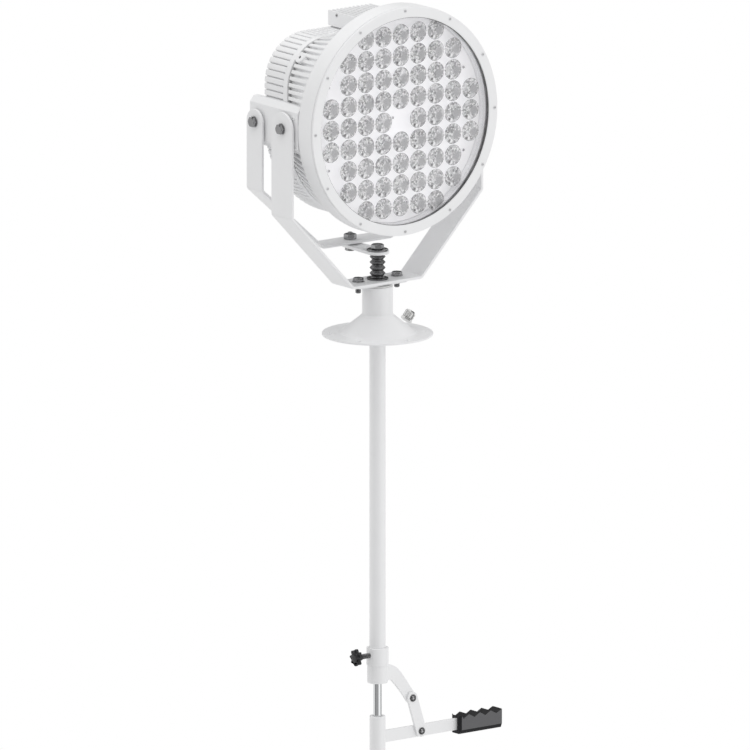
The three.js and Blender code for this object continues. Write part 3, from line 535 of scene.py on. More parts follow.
def lens_material():
    """Clear moulded optic: facets of different greys, a calm eye and a dark pin, both seen in depth."""
    material, tree, output = blank("clear_optic")
    local = node(tree, "UVMap", uv_map="local").outputs[0]
    geometry = node(tree, "NewGeometry")
    seen = node(tree, "VectorTransform", {0: geometry.outputs["Incoming"]}, vector_type="VECTOR",
                convert_from="WORLD", convert_to="OBJECT").outputs[0]
    parts = node(tree, "SeparateXYZ", {0: seen})
    ahead = maths(tree, "ABSOLUTE", parts.outputs[1], 0.35)
    ahead = maths(tree, "MAXIMUM", ahead, 0.35)
    lean = node(tree, "CombineXYZ", {0: parts.outputs[0], 1: parts.outputs[2]}).outputs[0]
    lean = node(tree, "VectorMath", {0: lean, 3: 1.0}, operation="SCALE")
    inverse = maths(tree, "DIVIDE", 1.0, ahead)
    tree.links.new(inverse, lean.inputs[3])

    def spot(depth, centre, size, soft):
        """A round mark at a depth behind the face, in lens radii; 1 inside and 0 outside."""
        drift = node(tree, "VectorMath", {0: lean.outputs[0], 3: -depth}, operation="SCALE").outputs[0]
        at = node(tree, "VectorMath", {0: local, 1: drift}, operation="ADD").outputs[0]
        gap = node(tree, "VectorMath", {0: at, 1: (centre[0], centre[1], 0)}, operation="DISTANCE")
        return ranged(tree, gap.outputs["Value"], size, size + soft, 1, 0)

    place = node(tree, "TexCoord").outputs["Object"]
    facets = cells(tree, place, 4.2)
    fleck = node(tree, "SeparateXYZ", {0: facets.outputs["Color"]}).outputs[0]
    dark, pale = (0.16, 0.162, 0.168, 1), (0.74, 0.74, 0.75, 1)
    tone = mix_colour(tree, ranged(tree, fleck, 0.1, 0.9, 0, 1), dark, pale)
    fine = cells(tree, place, 2.4)
    spark = node(tree, "SeparateXYZ", {0: fine.outputs["Color"]}).outputs[1]
    tone = mix_colour(tree, ranged(tree, spark, 0.80, 0.86, 0, 0.9), tone, (0.97, 0.97, 0.97, 1))
    tint = cells(tree, place, 9)
    tinted = node(tree, "HueSaturation", {"Saturation": 0.12, "Value": 0.7, "Color": tint.outputs["Color"]})
    tone = mix_colour(tree, 0.14, tone, tinted.outputs[0])
    calm = spot(-0.50, (0.0, 0.0), 0.30, 0.22)
    tone = mix_colour(tree, calm, tone, (0.38, 0.38, 0.39, 1))
    glint = spot(0.30, (0.02, -0.78), 0.12, 0.08)
    tone = mix_colour(tree, glint, tone, (0.95, 0.95, 0.95, 1))
    pin = spot(0.30, (-0.22, -0.70), 0.09, 0.08)
    tone = mix_colour(tree, pin, tone, (0.05, 0.05, 0.053, 1))
    reach = node(tree, "VectorMath", {0: local}, operation="LENGTH").outputs["Value"]
    tone = mix_colour(tree, ranged(tree, reach, 0.90, 1.0, 0, 0.4), tone, (0.30, 0.30, 0.305, 1))
    bump = node(tree, "Bump", {"Height": facets.outputs["Distance"], "Distance": 0.2 * MM})
    shader = node(tree, "BsdfPrincipled", {
        "Base Color": tone, "Roughness": 0.3, "Metallic": 0.0, "Normal": bump.outputs[0],
        "Coat Weight": 0.3, "Coat Roughness": 0.12,
    })
    tree.links.new(shader.outputs[0], output.inputs[0])
    return material


def principled(material):
    return next(made for made in material.node_tree.nodes if made.type == "BSDF_PRINCIPLED")


def painted_glow_plate_material():
    """White reflector plate with a painted glow: a weak emission stands in for the light that reaches it
    through the clear optics around it.
    """
    material = finish("white_carrier_painted_glow", (0.93, 0.93, 0.94), 0.5, spread=0.06, grain=0.8, relief=0.01,
                      mottle=0.015)
    shader = principled(material)
    # Painted light: a weak white glow in place of light that comes through the clear optics.
    shader.inputs["Emission Color"].default_value = (1, 1, 1, 1)
    shader.inputs["Emission Strength"].default_value = 0.15
    return material


def glass_material():
    """Toughened glass: clear, with a reflection that grows towards the edge of view."""
    material, tree, output = blank("clear_glass")
    place = node(tree, "TexCoord").outputs["Object"]
    smear = ranged(tree, noise(tree, place, 60, 2.0), 0.4, 0.7, 0.0, 0.05)
    edge = node(tree, "LayerWeight", {"Blend": 0.12}).outputs["Facing"]
    share = maths(tree, "ADD", ranged(tree, edge, 0, 1, 0.015, 0.5), smear)
    clear = node(tree, "BsdfTransparent", {"Color": (0.988, 0.986, 0.99, 1)})
    gloss = node(tree, "BsdfGlossy", {"Roughness": 0.06, "Color": (1, 1, 1, 1)})
    both = node(tree, "MixShader", {0: share, 1: clear.outputs[0], 2: gloss.outputs[0]})
    tree.links.new(both.outputs[0], output.inputs[0])
    return material


def grip_material():
    """Moulded grip: stippled grey side panels, with the grooves and chamfers smoother and darker; their dark
    colour is partly painted shade, darkest where they face up.
    """
    material = finish("grip_rubber", (0.115, 0.115, 0.12), 0.5, spread=0.08, grain=0.8, relief=0.05,
                      mottle=0.06)
    tree = material.node_tree
    shader = principled(material)
    panel = shader.inputs["Base Color"].links[0].from_socket
    true_way = node(tree, "NewGeometry").outputs["True Normal"]
    way = node(tree, "VectorTransform", {0: true_way}, vector_type="NORMAL", convert_from="WORLD",
               convert_to="OBJECT").outputs[0]
    across = node(tree, "Math", {0: node(tree, "SeparateXYZ", {0: way}).outputs[1]}, operation="ABSOLUTE")
    side = ranged(tree, across.outputs[0], 0.93, 0.97, 0, 1)
    up = node(tree, "SeparateXYZ", {0: way}).outputs[2]
    # Painted shade: faces off the side panels get dark colours, the darkest on those that face up towards
    # the light.
    groove, top = (0.020, 0.020, 0.022, 1), (0.008, 0.008, 0.009, 1)
    dark = mix_colour(tree, ranged(tree, up, 0.3, 0.8, 0, 1), groove, top)
    tree.links.new(ranged(tree, side, 0, 1, 0.15, 0.5), shader.inputs["Specular IOR Level"])
    tree.links.new(mix_colour(tree, side, dark, panel), shader.inputs["Base Color"])
    return material


PAINT = (0.875, 0.877, 0.885)
CAST = finish("white_powder_coat_cast", PAINT, 0.42, grain=1.6, relief=0.05, mottle=0.02, coat=0.15)
STEEL = finish("white_powder_coat_steel", PAINT, 0.38, grain=1.1, relief=0.03, mottle=0.018, coat=0.2)
BLACK = finish("black_oxide_steel", (0.32, 0.32, 0.325), 0.11, 0.95, spread=0.06, grain=0.9, relief=0.01,
               mottle=0.10, wear_and_sheen=(0.55, 0.55, 0.56))
BRIGHT = finish("bright_steel", (0.62, 0.62, 0.63), 0.26, 1.0, spread=0.08, grain=0.5, relief=0.008,
                mottle=0.06)
PIN = finish("polished_pin", (0.52, 0.52, 0.53), 0.16, 1.0, spread=0.05, grain=0.7, relief=0.004,
             mottle=0.05)
NICKEL = finish("nickel_plate", (0.88, 0.88, 0.87), 0.14, 1.0, spread=0.06, grain=0.8, relief=0.006,
                mottle=0.05)
CHROME = finish("hard_chrome", (0.78, 0.79, 0.80), 0.10, 1.0, spread=0.03, grain=1.2, relief=0.002,
                mottle=0.03, stretch=(1, 1, 0.05))
RUBBER = finish("black_rubber", (0.045, 0.045, 0.047), 0.32, spread=0.08, grain=0.5, relief=0.01,
                mottle=0.15, wear_and_sheen=(0.16, 0.16, 0.165), specular=1.0, coat=0.4)
GRIP = grip_material()
PLASTIC = finish("black_plastic", (0.022, 0.022, 0.024), 0.36, spread=0.08, grain=0.9, relief=0.02,
                 mottle=0.1, wear_and_sheen=(0.09, 0.09, 0.095))
NYLON = finish("white_nylon", (0.74, 0.74, 0.73), 0.5, grain=1.5, relief=0.02, mottle=0.04)
# Painted shade: the near-black floor of each hexagon socket.
SOCKET_SHADE = finish("socket_painted_shade", (0.018, 0.018, 0.02), 0.6, grain=1.0, relief=0.01, mottle=0.1)
# Painted shade: the dark colour of the dished ring round each pin's dome.
PIN_RING_SHADE = finish("dished_ring_painted_shade", (0.16, 0.16, 0.165), 0.3, 0.8, grain=0.6, relief=0.005, mottle=0.1)
SATIN = finish("satin_steel", (0.74, 0.74, 0.75), 0.42, 0.8, spread=0.05, grain=0.7, relief=0.005,
               mottle=0.05)
RECESS = finish("shaded_recess", (0.50, 0.50, 0.505), 0.6, grain=1.0, relief=0.01, mottle=0.1)
BELLOWS = finish("bellows_rubber", (0.18, 0.18, 0.183), 0.11, 0.92, spread=0.06, grain=0.6, relief=0.004,
                 mottle=0.1, coat=0.3)
BOARD = finish("white_solder_mask", (0.85, 0.85, 0.86), 0.45, grain=2.5, relief=0.02, mottle=0.03)
CASE = finish("plain_aluminium", (0.50, 0.50, 0.52), 0.4, 1.0, grain=0.8, relief=0.01, mottle=0.06,
              stretch=(1, 0.05, 1))
PLATE = painted_glow_plate_material()
OPTIC = lens_material()
# The cups share the plate's painted glow.
CUP = painted_glow_plate_material()
GLASS = glass_material()


# ---------- outlines of the lamp's housing ----------
def housing_radius(angle):
    """The housing's outline: a rounded rectangle above the axis and a circle below it."""
    across, up = abs(math.cos(angle)), math.sin(angle)
    if up <= 0:
        return HOUSING_LOWER_RADIUS
    corner_x, corner_z = HOUSING_HALF_WIDTH - HOUSING_CORNER, HOUSING_TOP - HOUSING_CORNER
    if up * HOUSING_HALF_WIDTH <= corner_z * across:
        return HOUSING_HALF_WIDTH / across
    if across * HOUSING_TOP <= corner_x * up:
        return HOUSING_TOP / up
    along = across * corner_x + up * corner_z
    return along + math.sqrt(along**2 - corner_x**2 - corner_z**2 + HOUSING_CORNER**2)


def clear_of_mounts(angle, radius, depth):
    """Trims a radius where a side bracket or the top block sits on the housing."""
    x, z = abs(math.cos(angle)), math.sin(angle)
    if depth > BRACKET_START and abs(z) * radius < BRACKET_HALF:
        radius = min(radius, BRACKET_SEAT / x)
    if depth > BLOCK_START and z > 0 and x * radius < BLOCK_HALF:
        radius = min(radius, BLOCK_SEAT / z)
    return radius


def fin_loop(depth, tip, root, fill=0.56, shoulder=1.0):
    """Toothed loop at a depth: tip and root give a radius for an angle, fill a fin's share of its pitch."""
    pitch = 2 * math.pi / FIN_COUNT
    sides = ((-FIN_SHARES[0], root, 0), (-1.0, tip, shoulder), (-FIN_SHARES[1], tip, 0))
    sides += tuple((-share, radius_at, drop) for share, radius_at, drop in reversed(sides))
    loop = []
    for i in range(FIN_COUNT):
        for share, radius_at, drop in sides:
            angle = (i + 0.5) * pitch + share * pitch * fill / 2
            radius = clear_of_mounts(angle, radius_at(angle) - drop, depth)
            loop.append(polar(radius, angle, depth))
    return loop


def plain_loop(depth, drop, fill=0.56):
    """Smooth loop with as many points as a toothed one, a drop below the housing's outline."""
    skin = lambda angle: housing_radius(angle) - drop
    return fin_loop(depth, skin, skin, fill, shoulder=0)


# ---------- lamp ----------
def socket_screw(shape, radius, place, head=0, dark=1, height=1.8):
    """Low round head with a hexagon socket, drawn as a dark hexagon in a round recess: painted shade."""
    profile = [(0, height - 0.9), (radius * 0.5, height - 0.9), (radius * 0.5, height)]
    profile += [(radius * 0.8, height), (radius, height * 0.6), (radius, 0), (0, 0)]
    revolve(shape, profile, place, head, steps=24)
    hexagon(shape, radius * 0.9, 0.4, place @ shift(0, 0, height - 0.85), dark, both=True)


def build_bezel():
    corners = [
        (WINDOW_RADIUS, 0, 1.4), (BEZEL_RADIUS - 0.9, 0, 1.2), (BEZEL_RADIUS - 0.9, 4.2, 0.3),
        (BEZEL_RADIUS - 2.0, 4.4, 0.2), (BEZEL_RADIUS - 2.0, 5.2, 0.2), (BEZEL_RADIUS, 5.5, 0.5),
        (BEZEL_RADIUS, BEZEL_DEPTH, 0.8), (BEZEL_RADIUS - 3.2, BEZEL_DEPTH, 0.3),
        (BEZEL_RADIUS - 3.2, 4.2, 0), (WINDOW_RADIUS, 4.2, 0.3),
    ]
    spin_in("bezel_ring", corners, 0.5, LAMP_FRONT, CAST, steps=RING_STEPS)
    for i in range(12):
        angle = math.radians(30 * i)
        spot = LAMP_FRONT @ Vector(polar(SCREW_CIRCLE, angle, 0))
        screw = Shape()
        socket_screw(screw, 3.1, turned_to((0, -1, 0), spot), height=1.3)
        stand_in(screw, "bezel_screw_%02d" % (i + 1), SATIN, RECESS)


def build_window():
    corners = [
        (WINDOW_RADIUS - 0.8, 1.5, 0.3), (WINDOW_RADIUS - 0.1, 1.5, 0.2), (WINDOW_RADIUS - 0.1, 4.5, 0),
        (GLASS_RADIUS, 4.5, 0), (GLASS_RADIUS, 6.9, 0.3), (WINDOW_RADIUS - 0.8, 6.9, 0.3),
    ]
    spin_in("glass_gasket", corners, 0.3, LAMP_FRONT, RUBBER, steps=RING_STEPS)
    pane = disc(GLASS_RADIUS, GLASS_FRONT, GLASS_BACK, 0.6, 0.6)
    spin_in("front_glass", pane, 0.5, LAMP_FRONT, GLASS, steps=RING_STEPS)


def lens_spots():
    """Centres of the optics: full columns in the middle, shorter ones at the sides, none at the centre."""
    reach = {3: 3, 4: 1}
    columns = range(-4, 5)
    return [
        (column * LENS_PITCH, row * LENS_PITCH)
        for column in columns
        for row in range(-reach.get(abs(column), 4), reach.get(abs(column), 4) + 1)
        if (column, row) != (0, 0)
    ]


def faceted_disc(rings):
    """Points of a disc on a six-fold lattice as (x, y, raised), and its triangles."""
    ways = [(1, 0), (0, 1), (-1, 1), (-1, 0), (0, -1), (1, -1)]
    points, triangles = [(0.0, 0.0, True)], []
    first = lambda ring: 1 + 3 * ring * (ring - 1) if ring else 0
    spot = lambda ring, step: first(ring) + step % (6 * ring) if ring else 0
    for ring in range(1, rings + 1):
        for step in range(6 * ring):
            sector, along = divmod(step, ring)
            a = ring * ways[sector][0] + along * ways[(sector + 2) % 6][0]
            b = ring * ways[sector][1] + along * ways[(sector + 2) % 6][1]
            angle = 2 * math.pi * step / (6 * ring)
            share = ring / rings
            points.append(polar(share, angle, (a - b) % 3 == 0 and ring < rings))
    for ring in range(rings):
        for sector in range(6):
            for along in range(ring + 1):
                outer, inner = sector * (ring + 1) + along, sector * ring + along
                triangles.append([spot(ring + 1, outer), spot(ring + 1, outer + 1), spot(ring, inner)])
                if along < ring:
                    triangles.append([spot(ring, inner), spot(ring + 1, outer + 1), spot(ring, inner + 1)])
    return points, triangles


def add_lens(shape, x, z, lattice, rings=10):
    """One optic: a faceted face on a cup that narrows to the carrier."""
    points, triangles = lattice
    rim, limit = 6 * rings, WINDOW_RADIUS - 0.9
    raised, crown, lip, cup_foot = 0.55, 0.9, LENS_RADIUS - 0.4, 12

    def inside(px, pz, depth):
        """Keeps a point within the window."""
        reach = math.hypot(px, pz)
        pull = min(1.0, limit / reach) if reach else 1.0
        return (px * pull, pz * pull, depth)

    face = []
    for u, v, up in points:
        height = crown * (u * u + v * v) - (raised if up else 0.0)
        face.append(inside(x + u * lip, z + v * lip, LENS_FACE + 0.6 + height))
    shape.add(face, triangles, LAMP_FRONT, 1, [(u, v) for u, v, _ in points])
    last = points[-rim:]
    sections = [
        (lip, LENS_FACE + 0.6 + crown), (LENS_RADIUS, LENS_FACE + 1.8), (LENS_RADIUS - 0.1, LENS_FACE + 2.8),
        (LENS_RADIUS - 1.5, LENS_FACE + 4.0), (cup_foot, CARRIER_FRONT),
    ]
    loops = [[inside(x + u * r, z + v * r, depth) for u, v, _ in last] for r, depth in sections]
    loft(shape, loops, LAMP_FRONT, 2, caps=False)
    shape.add(loops[-1], [list(range(rim))], LAMP_FRONT, 2)


def build_optics():
    shape = Shape()
    carrier = disc(WINDOW_RADIUS - 0.8, CARRIER_FRONT, CARRIER_BACK, 0.4, 0.2)
    turned(shape, carrier, 0.2, LAMP_FRONT, steps=144)
    lattice = faceted_disc(10)
    spots = lens_spots()
    for x, z in spots:
        add_lens(shape, x, z, lattice)
        if (x + LENS_PITCH, z) in spots:
            add_tabs(shape, x + LENS_PITCH / 2, z)
    outer_screws = [(side * 174, level * 87) for side in (-1, 1) for level in (-1, 1)]
    for x, z in [(-9, 4)] + outer_screws:
        place = LAMP_FRONT @ shift(x, z, CARRIER_FRONT) @ Matrix.Rotation(math.pi, 4, "X")
        socket_screw(shape, 3.2, place, 3, 4, height=2.0)
    stand_in(shape, "lens_array", PLATE, OPTIC, CUP, BRIGHT, SOCKET_SHADE, flat=(1,))


def add_tabs(shape, x, z):
    """Two small clips that hold neighbouring optics."""
    for side in (-1, 1):
        middle = z + side * 3.4
        outline = rectangle(x - 2.2, middle - 1.6, x + 2.2, middle + 1.6, 1.2)
        slab(shape, outline, LENS_FACE + 0.9, CARRIER_FRONT + 0.2, 0.6, LAMP_FRONT, 0)


def taper(depth):
    """How far the front fins have changed from the rim's circle to the housing's outline."""
    return min(1.0, max(0.0, (depth - BEZEL_DEPTH) / (BAND_DEPTH - BEZEL_DEPTH)))


def front_loop(depth, tip_drop, root_drop):
    """Front fin loop: its tips run from the rim's circle to the housing's outline."""
    share = taper(depth)
    skin = lambda angle: (1 - share) * (BEZEL_RADIUS - 0.4) + share * (housing_radius(angle) - 1)
    return fin_loop(depth, lambda angle: skin(angle) - tip_drop, lambda angle: skin(angle) - root_drop)


def build_front_housing():
    shape = Shape()
    start, step, end = BEZEL_DEPTH + 0.3, BEZEL_DEPTH + 33, BAND_DEPTH - 3.2
    loops = [
        front_loop(start, 4.5, 4.5), front_loop(start + 0.6, 0.4, 3.5), front_loop(step - 0.8, 0, 6.5),
        front_loop(step, 0, 8), front_loop(end - 0.8, 0, 8), front_loop(end, 0.8, 8.2),
        front_loop(end, 17, 17), front_loop(BAND_DEPTH - 0.2, 17, 17),
        plain_loop(BAND_DEPTH - 0.2, HOUSING_WALL), plain_loop(start + 1.7, HOUSING_WALL),
    ]
    loft(shape, loops, LAMP_FRONT, closed=True)
    wall = BEZEL_RADIUS - 3.5
    corners = [
        (0, 36.3), (WINDOW_RADIUS, 36.3, 0), (WINDOW_RADIUS, 11.5, 0.8), (227, 11.5, 0.3),
        (227, 4.5, 0.3), (wall, 4.5, 0.3), (wall, 50, 0), (0, 50),
    ]
    turned(shape, corners, 0.3, LAMP_FRONT, steps=RING_STEPS)
    add_side_plug(shape)
    stand_in(shape, "front_housing", CAST, SOCKET_SHADE)


def add_side_plug(shape):
    """Round boss with a socket plug, on the upper left of the fins."""
    angle, depth, radius = math.radians(144), 98, 12
    outward = Vector((math.cos(angle), 0, math.sin(angle)))
    foot = Vector((0, FACE_Y + depth, LAMP.z)) + outward * (housing_radius(angle) - 14)
    place = turned_to(outward, foot)
    corners = [(0, 0), (radius, 0, 0), (radius, 17.5, 1.0), (3.4, 17.5, 0.4), (3.0, 15.5, 0), (0, 15.5)]
    turned(shape, corners, 0.5, place, steps=40)
    # The dark hexagon in the plug's recess is painted shade.
    hexagon(shape, 5.4, 0.5, place @ shift(0, 0, 15.3), 1, both=True)


def build_rear_housing():
    shape = Shape()
    fins, end, root, land = REAR_FINS_DEPTH, HOUSING_END, 6.5, 0.80
    skin = lambda drop: (lambda angle: housing_radius(angle) - drop)
    loops = [
        plain_loop(end - 5, HOUSING_WALL, land), plain_loop(BAND_DEPTH, HOUSING_WALL, land),
        plain_loop(BAND_DEPTH, 1.0, land), plain_loop(BAND_DEPTH + 0.3, 0.3, land),
        plain_loop(BAND_DEPTH + 1.0, 0.0, land), plain_loop(fins - 1.2, 0.0, land),
        fin_loop(fins, skin(0.6), skin(0.8), land), fin_loop(fins + 0.6, skin(0.6), skin(root - 1), land),
        fin_loop(fins + 1.6, skin(0.6), skin(root), land), fin_loop(end - 1.4, skin(0.6), skin(root), land),
        fin_loop(end - 0.4, skin(1.0), skin(root), land), fin_loop(end, skin(1.8), skin(root + 0.4), land),
    ]
    loft(shape, loops, LAMP_FRONT)
    # A seal ring in the gap between the front fins and the band, in the shaded-recess grey: painted shade.
    shaded_seal_ring = [
        plain_loop(BAND_DEPTH - 3.0, 2.4), plain_loop(BAND_DEPTH - 0.1, 2.4),
        plain_loop(BAND_DEPTH - 0.1, 16.5), plain_loop(BAND_DEPTH - 3.0, 16.5),
    ]
    loft(shape, shaded_seal_ring, LAMP_FRONT, 1, closed=True)
    stand_in(shape, "rear_housing", CAST, RECESS)


def build_rear_cover():
    shape = Shape()
    front, back = depths("rear_cover")
    ring = lambda drop: [polar(housing_radius(turn) - drop, turn) for turn in around(180)]
    slab(shape, ring(HOUSING_WALL + 6), front, back, 1.4, LAMP_FRONT)
    slab(shape, ring(HOUSING_WALL + 42), back - 0.5, back + 2.2, 1.2, LAMP_FRONT)
    for k in range(5):
        middle = -60 + 30 * k
        rib = rectangle(-95, middle - 3, 95, middle + 3, 2.9)
        slab(shape, rib, back + 1.5, back + 5.2, 1.0, LAMP_FRONT)
    for k in range(10):
        angle = math.radians(18 + 36 * k)
        spot = LAMP_FRONT @ Vector(polar(housing_radius(angle) - HOUSING_WALL - 20, angle, back))
        socket_screw(shape, 4.6, turned_to((0, 1, 0), spot), 1, 2, height=3.0)
    stand_in(shape, "rear_cover", CAST, BRIGHT, SOCKET_SHADE)


def build_top_block():
    """Block of fins that run front to back, with a foot lug and a screw on its sides."""
    shape = Shape()
    low, high = box("top_heat_sink")
    front, back = depths("top_heat_sink")
    bottom, top = low.z - LAMP.z, high.z - LAMP.z
    half, count = high.x, 11
    pitch = 2 * half / (count - 0.55)
    thick, floor = 0.45 * pitch, bottom + 9
    corners = [(-half, bottom, 0.5), (half, bottom, 0.5)]
    for k in reversed(range(count)):
        left = -half + k * pitch
        corners += [(left + thick, top, 1.1), (left, top, 1.1)]
        if k:
            corners += [(left, floor, 1.0), (left - pitch + thick, floor, 1.0)]
    slab(shape, rounded(corners, 1.0), front, back, 0.6, LAMP_FRONT)
    for side in (-1, 1):
        left, right = sorted((side * half, side * (half + 9)))
        lug = rectangle(left, front + 16, right, front + 34, 3.0)
        slab(shape, lug, LAMP.z + bottom, LAMP.z + bottom + 4, 0.8, shift(0, FACE_Y, 0))
        place = turned_to((0, 0, 1), (side * (half + 4), FACE_Y + front + 25, LAMP.z + bottom + 4))
        socket_screw(shape, 3.2, place, 1, 2)
        place = turned_to((side, 0, 0), (side * half, FACE_Y + back - 30, LAMP.z + top - 7))
        socket_screw(shape, 3.6, place, 1, 2, height=1.4)
    stand_in(shape, "top_heat_sink", CAST, BRIGHT, SOCKET_SHADE)


def build_side_brackets():
    low, high = box("side_bracket_right")
    front, back = depths("side_bracket_right")
    half, seat = (high.z - low.z) / 2, low.x
    boss = YOKE_FACE - YOKE_THICKNESS - 0.3 - BRACKET_FACE
    for side, name in SIDES:
        shape = Shape()
        knee, face = side * (BRACKET_FACE - 10), side * BRACKET_FACE
        corners = [
            (side * seat, -half, 0.4), (knee, -half, 1.2), (face, 12 - half, 1.2),
            (face, half - 12, 1.2), (knee, half, 1.2), (side * seat, half, 0.4),
        ]
        slab(shape, rounded(corners, 1.0), front, back, 1.4, LAMP_FRONT)
        for y in (AXIS_Y, REAR_PIVOT.y):
            place = turned_to((side, 0, 0), (face, y, LAMP.z))
            corners = [(0, -2), (17, -2, 0), (16, 0.6, 0.8), (15, boss, 0.5), (0, boss)]
            turned(shape, corners, 0.5, place, steps=48)
        for depth, z in ((front + 14, 26), (front + 14, -26), (back - 14, 0)):
            place = turned_to((side, 0, 0), (face, FACE_Y + depth, LAMP.z + z))
            socket_screw(shape, 4.2, place, 1, 2, height=1.6)
        stand_in(shape, "side_bracket_" + name, CAST, CAST, RECESS)


# ---------- bolts ----------
def add_bolt(shape, place, length, washer_radius=12.6, head_height=7.5, tip=8):
    """Hexagon bolt with a bright washer under its head; the head stands on the place's plane."""
    washer = 1.6
    turned(shape, disc(washer_radius, 0, washer, 0.3), 0.3, place, 1, steps=48)
    hexagon(shape, BOLT_ACROSS, head_height, place @ shift(0, 0, washer))
    shank = [(0, 0), (BOLT_RADIUS, 0), (BOLT_RADIUS, -length + tip), (0, -length + tip)]
    for profile in (shank, thread(BOLT_RADIUS, -length, -length + tip)):
        revolve(shape, profile, place, steps=32)


def build_pivot_bolts():
    seat = YOKE_FACE + 0.1
    for prefix, y in (("front_pivot_bolt_", AXIS_Y), ("rear_pivot_bolt_", REAR_PIVOT.y)):
        for side, name in SIDES:
            shape = Shape()
            add_bolt(shape, turned_to((side, 0, 0), (side * seat, y, LAMP.z)), 26)
            stand_in(shape, prefix + name, BLACK, BRIGHT)


# ---------- yokes ----------
def build_yoke(name, y, knee):
    """Flat bar bent four times; the knee is the height at which its sides turn in to the foot."""
    low, high = box(name)
    width, side = high.y - low.y, YOKE_FACE - YOKE_THICKNESS / 2
    base, tip = low.z + YOKE_THICKNESS / 2, LAMP.z + width / 2
    corners = [(-side, tip), (-side, knee), (-YOKE_FOOT, base), (YOKE_FOOT, base), (side, knee), (side, tip)]
    stand_in(strap(Shape(), corners, width, YOKE_THICKNESS, 9, shift(0, y, 0)), name, STEEL)


# ---------- pedestal ----------
GLAND_WAY = Vector((0.63, 0, 0.777)).normalized()
GLAND_FOOT = Vector((68, 0, 13))
BOLT_CIRCLE = 98


def drill(radius, low, high, place=PAN, steps=32):
    """A cylinder to cut a bore with."""
    return revolve(Shape(), [(0, low), (radius, low), (radius, high), (0, high)], place, steps=steps)


def build_pedestal():
    shape = Shape()
    bore, tube = 24.3, 32
    corners = [
        (bore, 0, 0.5), (FLANGE_RADIUS, 0, 0.8), (FLANGE_RADIUS, 3.4, 1.2), (82, 5.0, 4.0), (76, 7.2, 3.0),
        (tube + 5, 38.5, 5.0), (tube, 44, 5.0), (tube, PEDESTAL_TOP, 1.2), (bore, PEDESTAL_TOP, 0.8),
    ]
    turned(shape, corners, 0.8, PAN, steps=160, fine=5)
    gland = PAN @ turned_to(GLAND_WAY, GLAND_FOOT)
    corners = [(0, -9), (15.5, -9, 0), (12.4, 2, 4.0), (12, 8, 1.2), (0, 8)]
    turned(shape, corners, 1.0, gland, steps=48, fine=5)
    hole = [(0, -2), (4.5, -2), (4.5, 3.4), (7.4, 6.3), (0, 6.3)]
    holes = []
    for angle in (math.radians(30 + 60 * k) for k in range(6)):
        holes.append(revolve(Shape(), hole, PAN @ shift(*polar(BOLT_CIRCLE, angle, 0)), steps=32))
    stand_in(shape, "pedestal", CAST, cuts=holes)


def build_gland():
    place = PAN @ turned_to(GLAND_WAY, GLAND_FOOT)
    body = Shape()
    hexagon(body, 22, 5.6, place @ shift(0, 0, 8.3), both=True)
    revolve(body, thread(8.5, 13, 20, 1.5)[::-1], place, steps=40)
    stand_in(body, "gland_body", NICKEL)
    nut = Shape()
    ribs, steps = 16, 16 * 8

    def knurl(x, y, z):
        """Presses slots between the ribs of the nut's outer wall."""
        reach, turn = math.hypot(x, y), math.atan2(y, x)
        slot = 0.5 - 0.5 * math.tanh(5 * math.sin(ribs * turn))
        depth = 1.1 * slot if reach > 9.5 and 15.4 < z < 26.5 else 0
        return (x * (1 - depth / reach), y * (1 - depth / reach), z) if reach else (x, y, z)

    corners = [
        (8.8, 14.3), (11.5, 14.3, 0.6), (11.5, 15.6, 0), (11.5, 26.4, 0), (11.2, 27.5, 1.0),
        (9.2, 31, 2.5), (6, 31, 0.8), (6, 20.5, 0.3), (8.8, 20.5, 0),
    ]
    turned(nut, corners, 0.2, place, steps=steps, bend=knurl)
    turned(nut, disc(5.9, 21, 29.6, 0, 1.2), 1.0, place, 1, steps=32)
    stand_in(nut, "gland_nut", NICKEL, RUBBER)


def build_thrust_washer():
    low, high = box("thrust_washer")
    ring = disc(high.x, low.z, high.z, 0.8, 0.8, TUBE_RADIUS + 0.35, 0.2)
    spin_in("thrust_washer", ring, 0.4, PAN, NYLON)


# ---------- pole, its head and the bellows ----------
def build_pole():
    low, high = box("outer_tube")
    tube = disc(TUBE_RADIUS, low.z, high.z, 0.8, 0.5, bore=14.2, inner=0.3)
    spin_in("outer_tube", tube, 0.3, PAN, STEEL)
    flange = Shape()
    low, high = box("head_flange")
    half, deep = high.x, high.y - AXIS_Y
    slab(flange, rectangle(-half, -deep, half, deep, 14, 10), low.z, high.z, 1.0, PAN)
    bore = drill(TUBE_RADIUS + 0.4, low.z - 3, high.z + 3, steps=96)
    stand_in(flange, "head_flange", STEEL, cuts=[bore])
    seat = box("front_yoke")[0].z + YOKE_THICKNESS
    for side, name in SIDES[::-1]:
        bolt = Shape()
        add_bolt(bolt, PAN @ shift(side * 50, 0, seat), 23.6, tip=12)
        stand_in(bolt, "base_bolt_" + name, BLACK, BRIGHT)


def build_bellows():
    shape = Shape()
    low, high = box("bellows")
    foot, top, folds = low.z + 3.2, high.z, 4
    pitch = (top - foot) / (folds + 0.25)
    corners = [(9.6, low.z, 0), (22.4, low.z, 0.5), (22.4, foot - 0.4, 1.2), (14.2, foot, 1.5)]
    for k in range(folds):
        base = foot + k * pitch
        corners += [(11.4, base + pitch * 0.24, 2.0), (16.8, base + pitch * 0.74, 1.5)]
    corners += [(12.6, top - pitch * 0.18, 1.5), (14.6, top, 0.5), (9.6, top, 0)]
    turned(shape, corners, 1.0, PAN, steps=72, fine=5)
    piece = stand_in(shape, "bellows", BELLOWS, rides=False, smooth=60)
    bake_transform(piece)


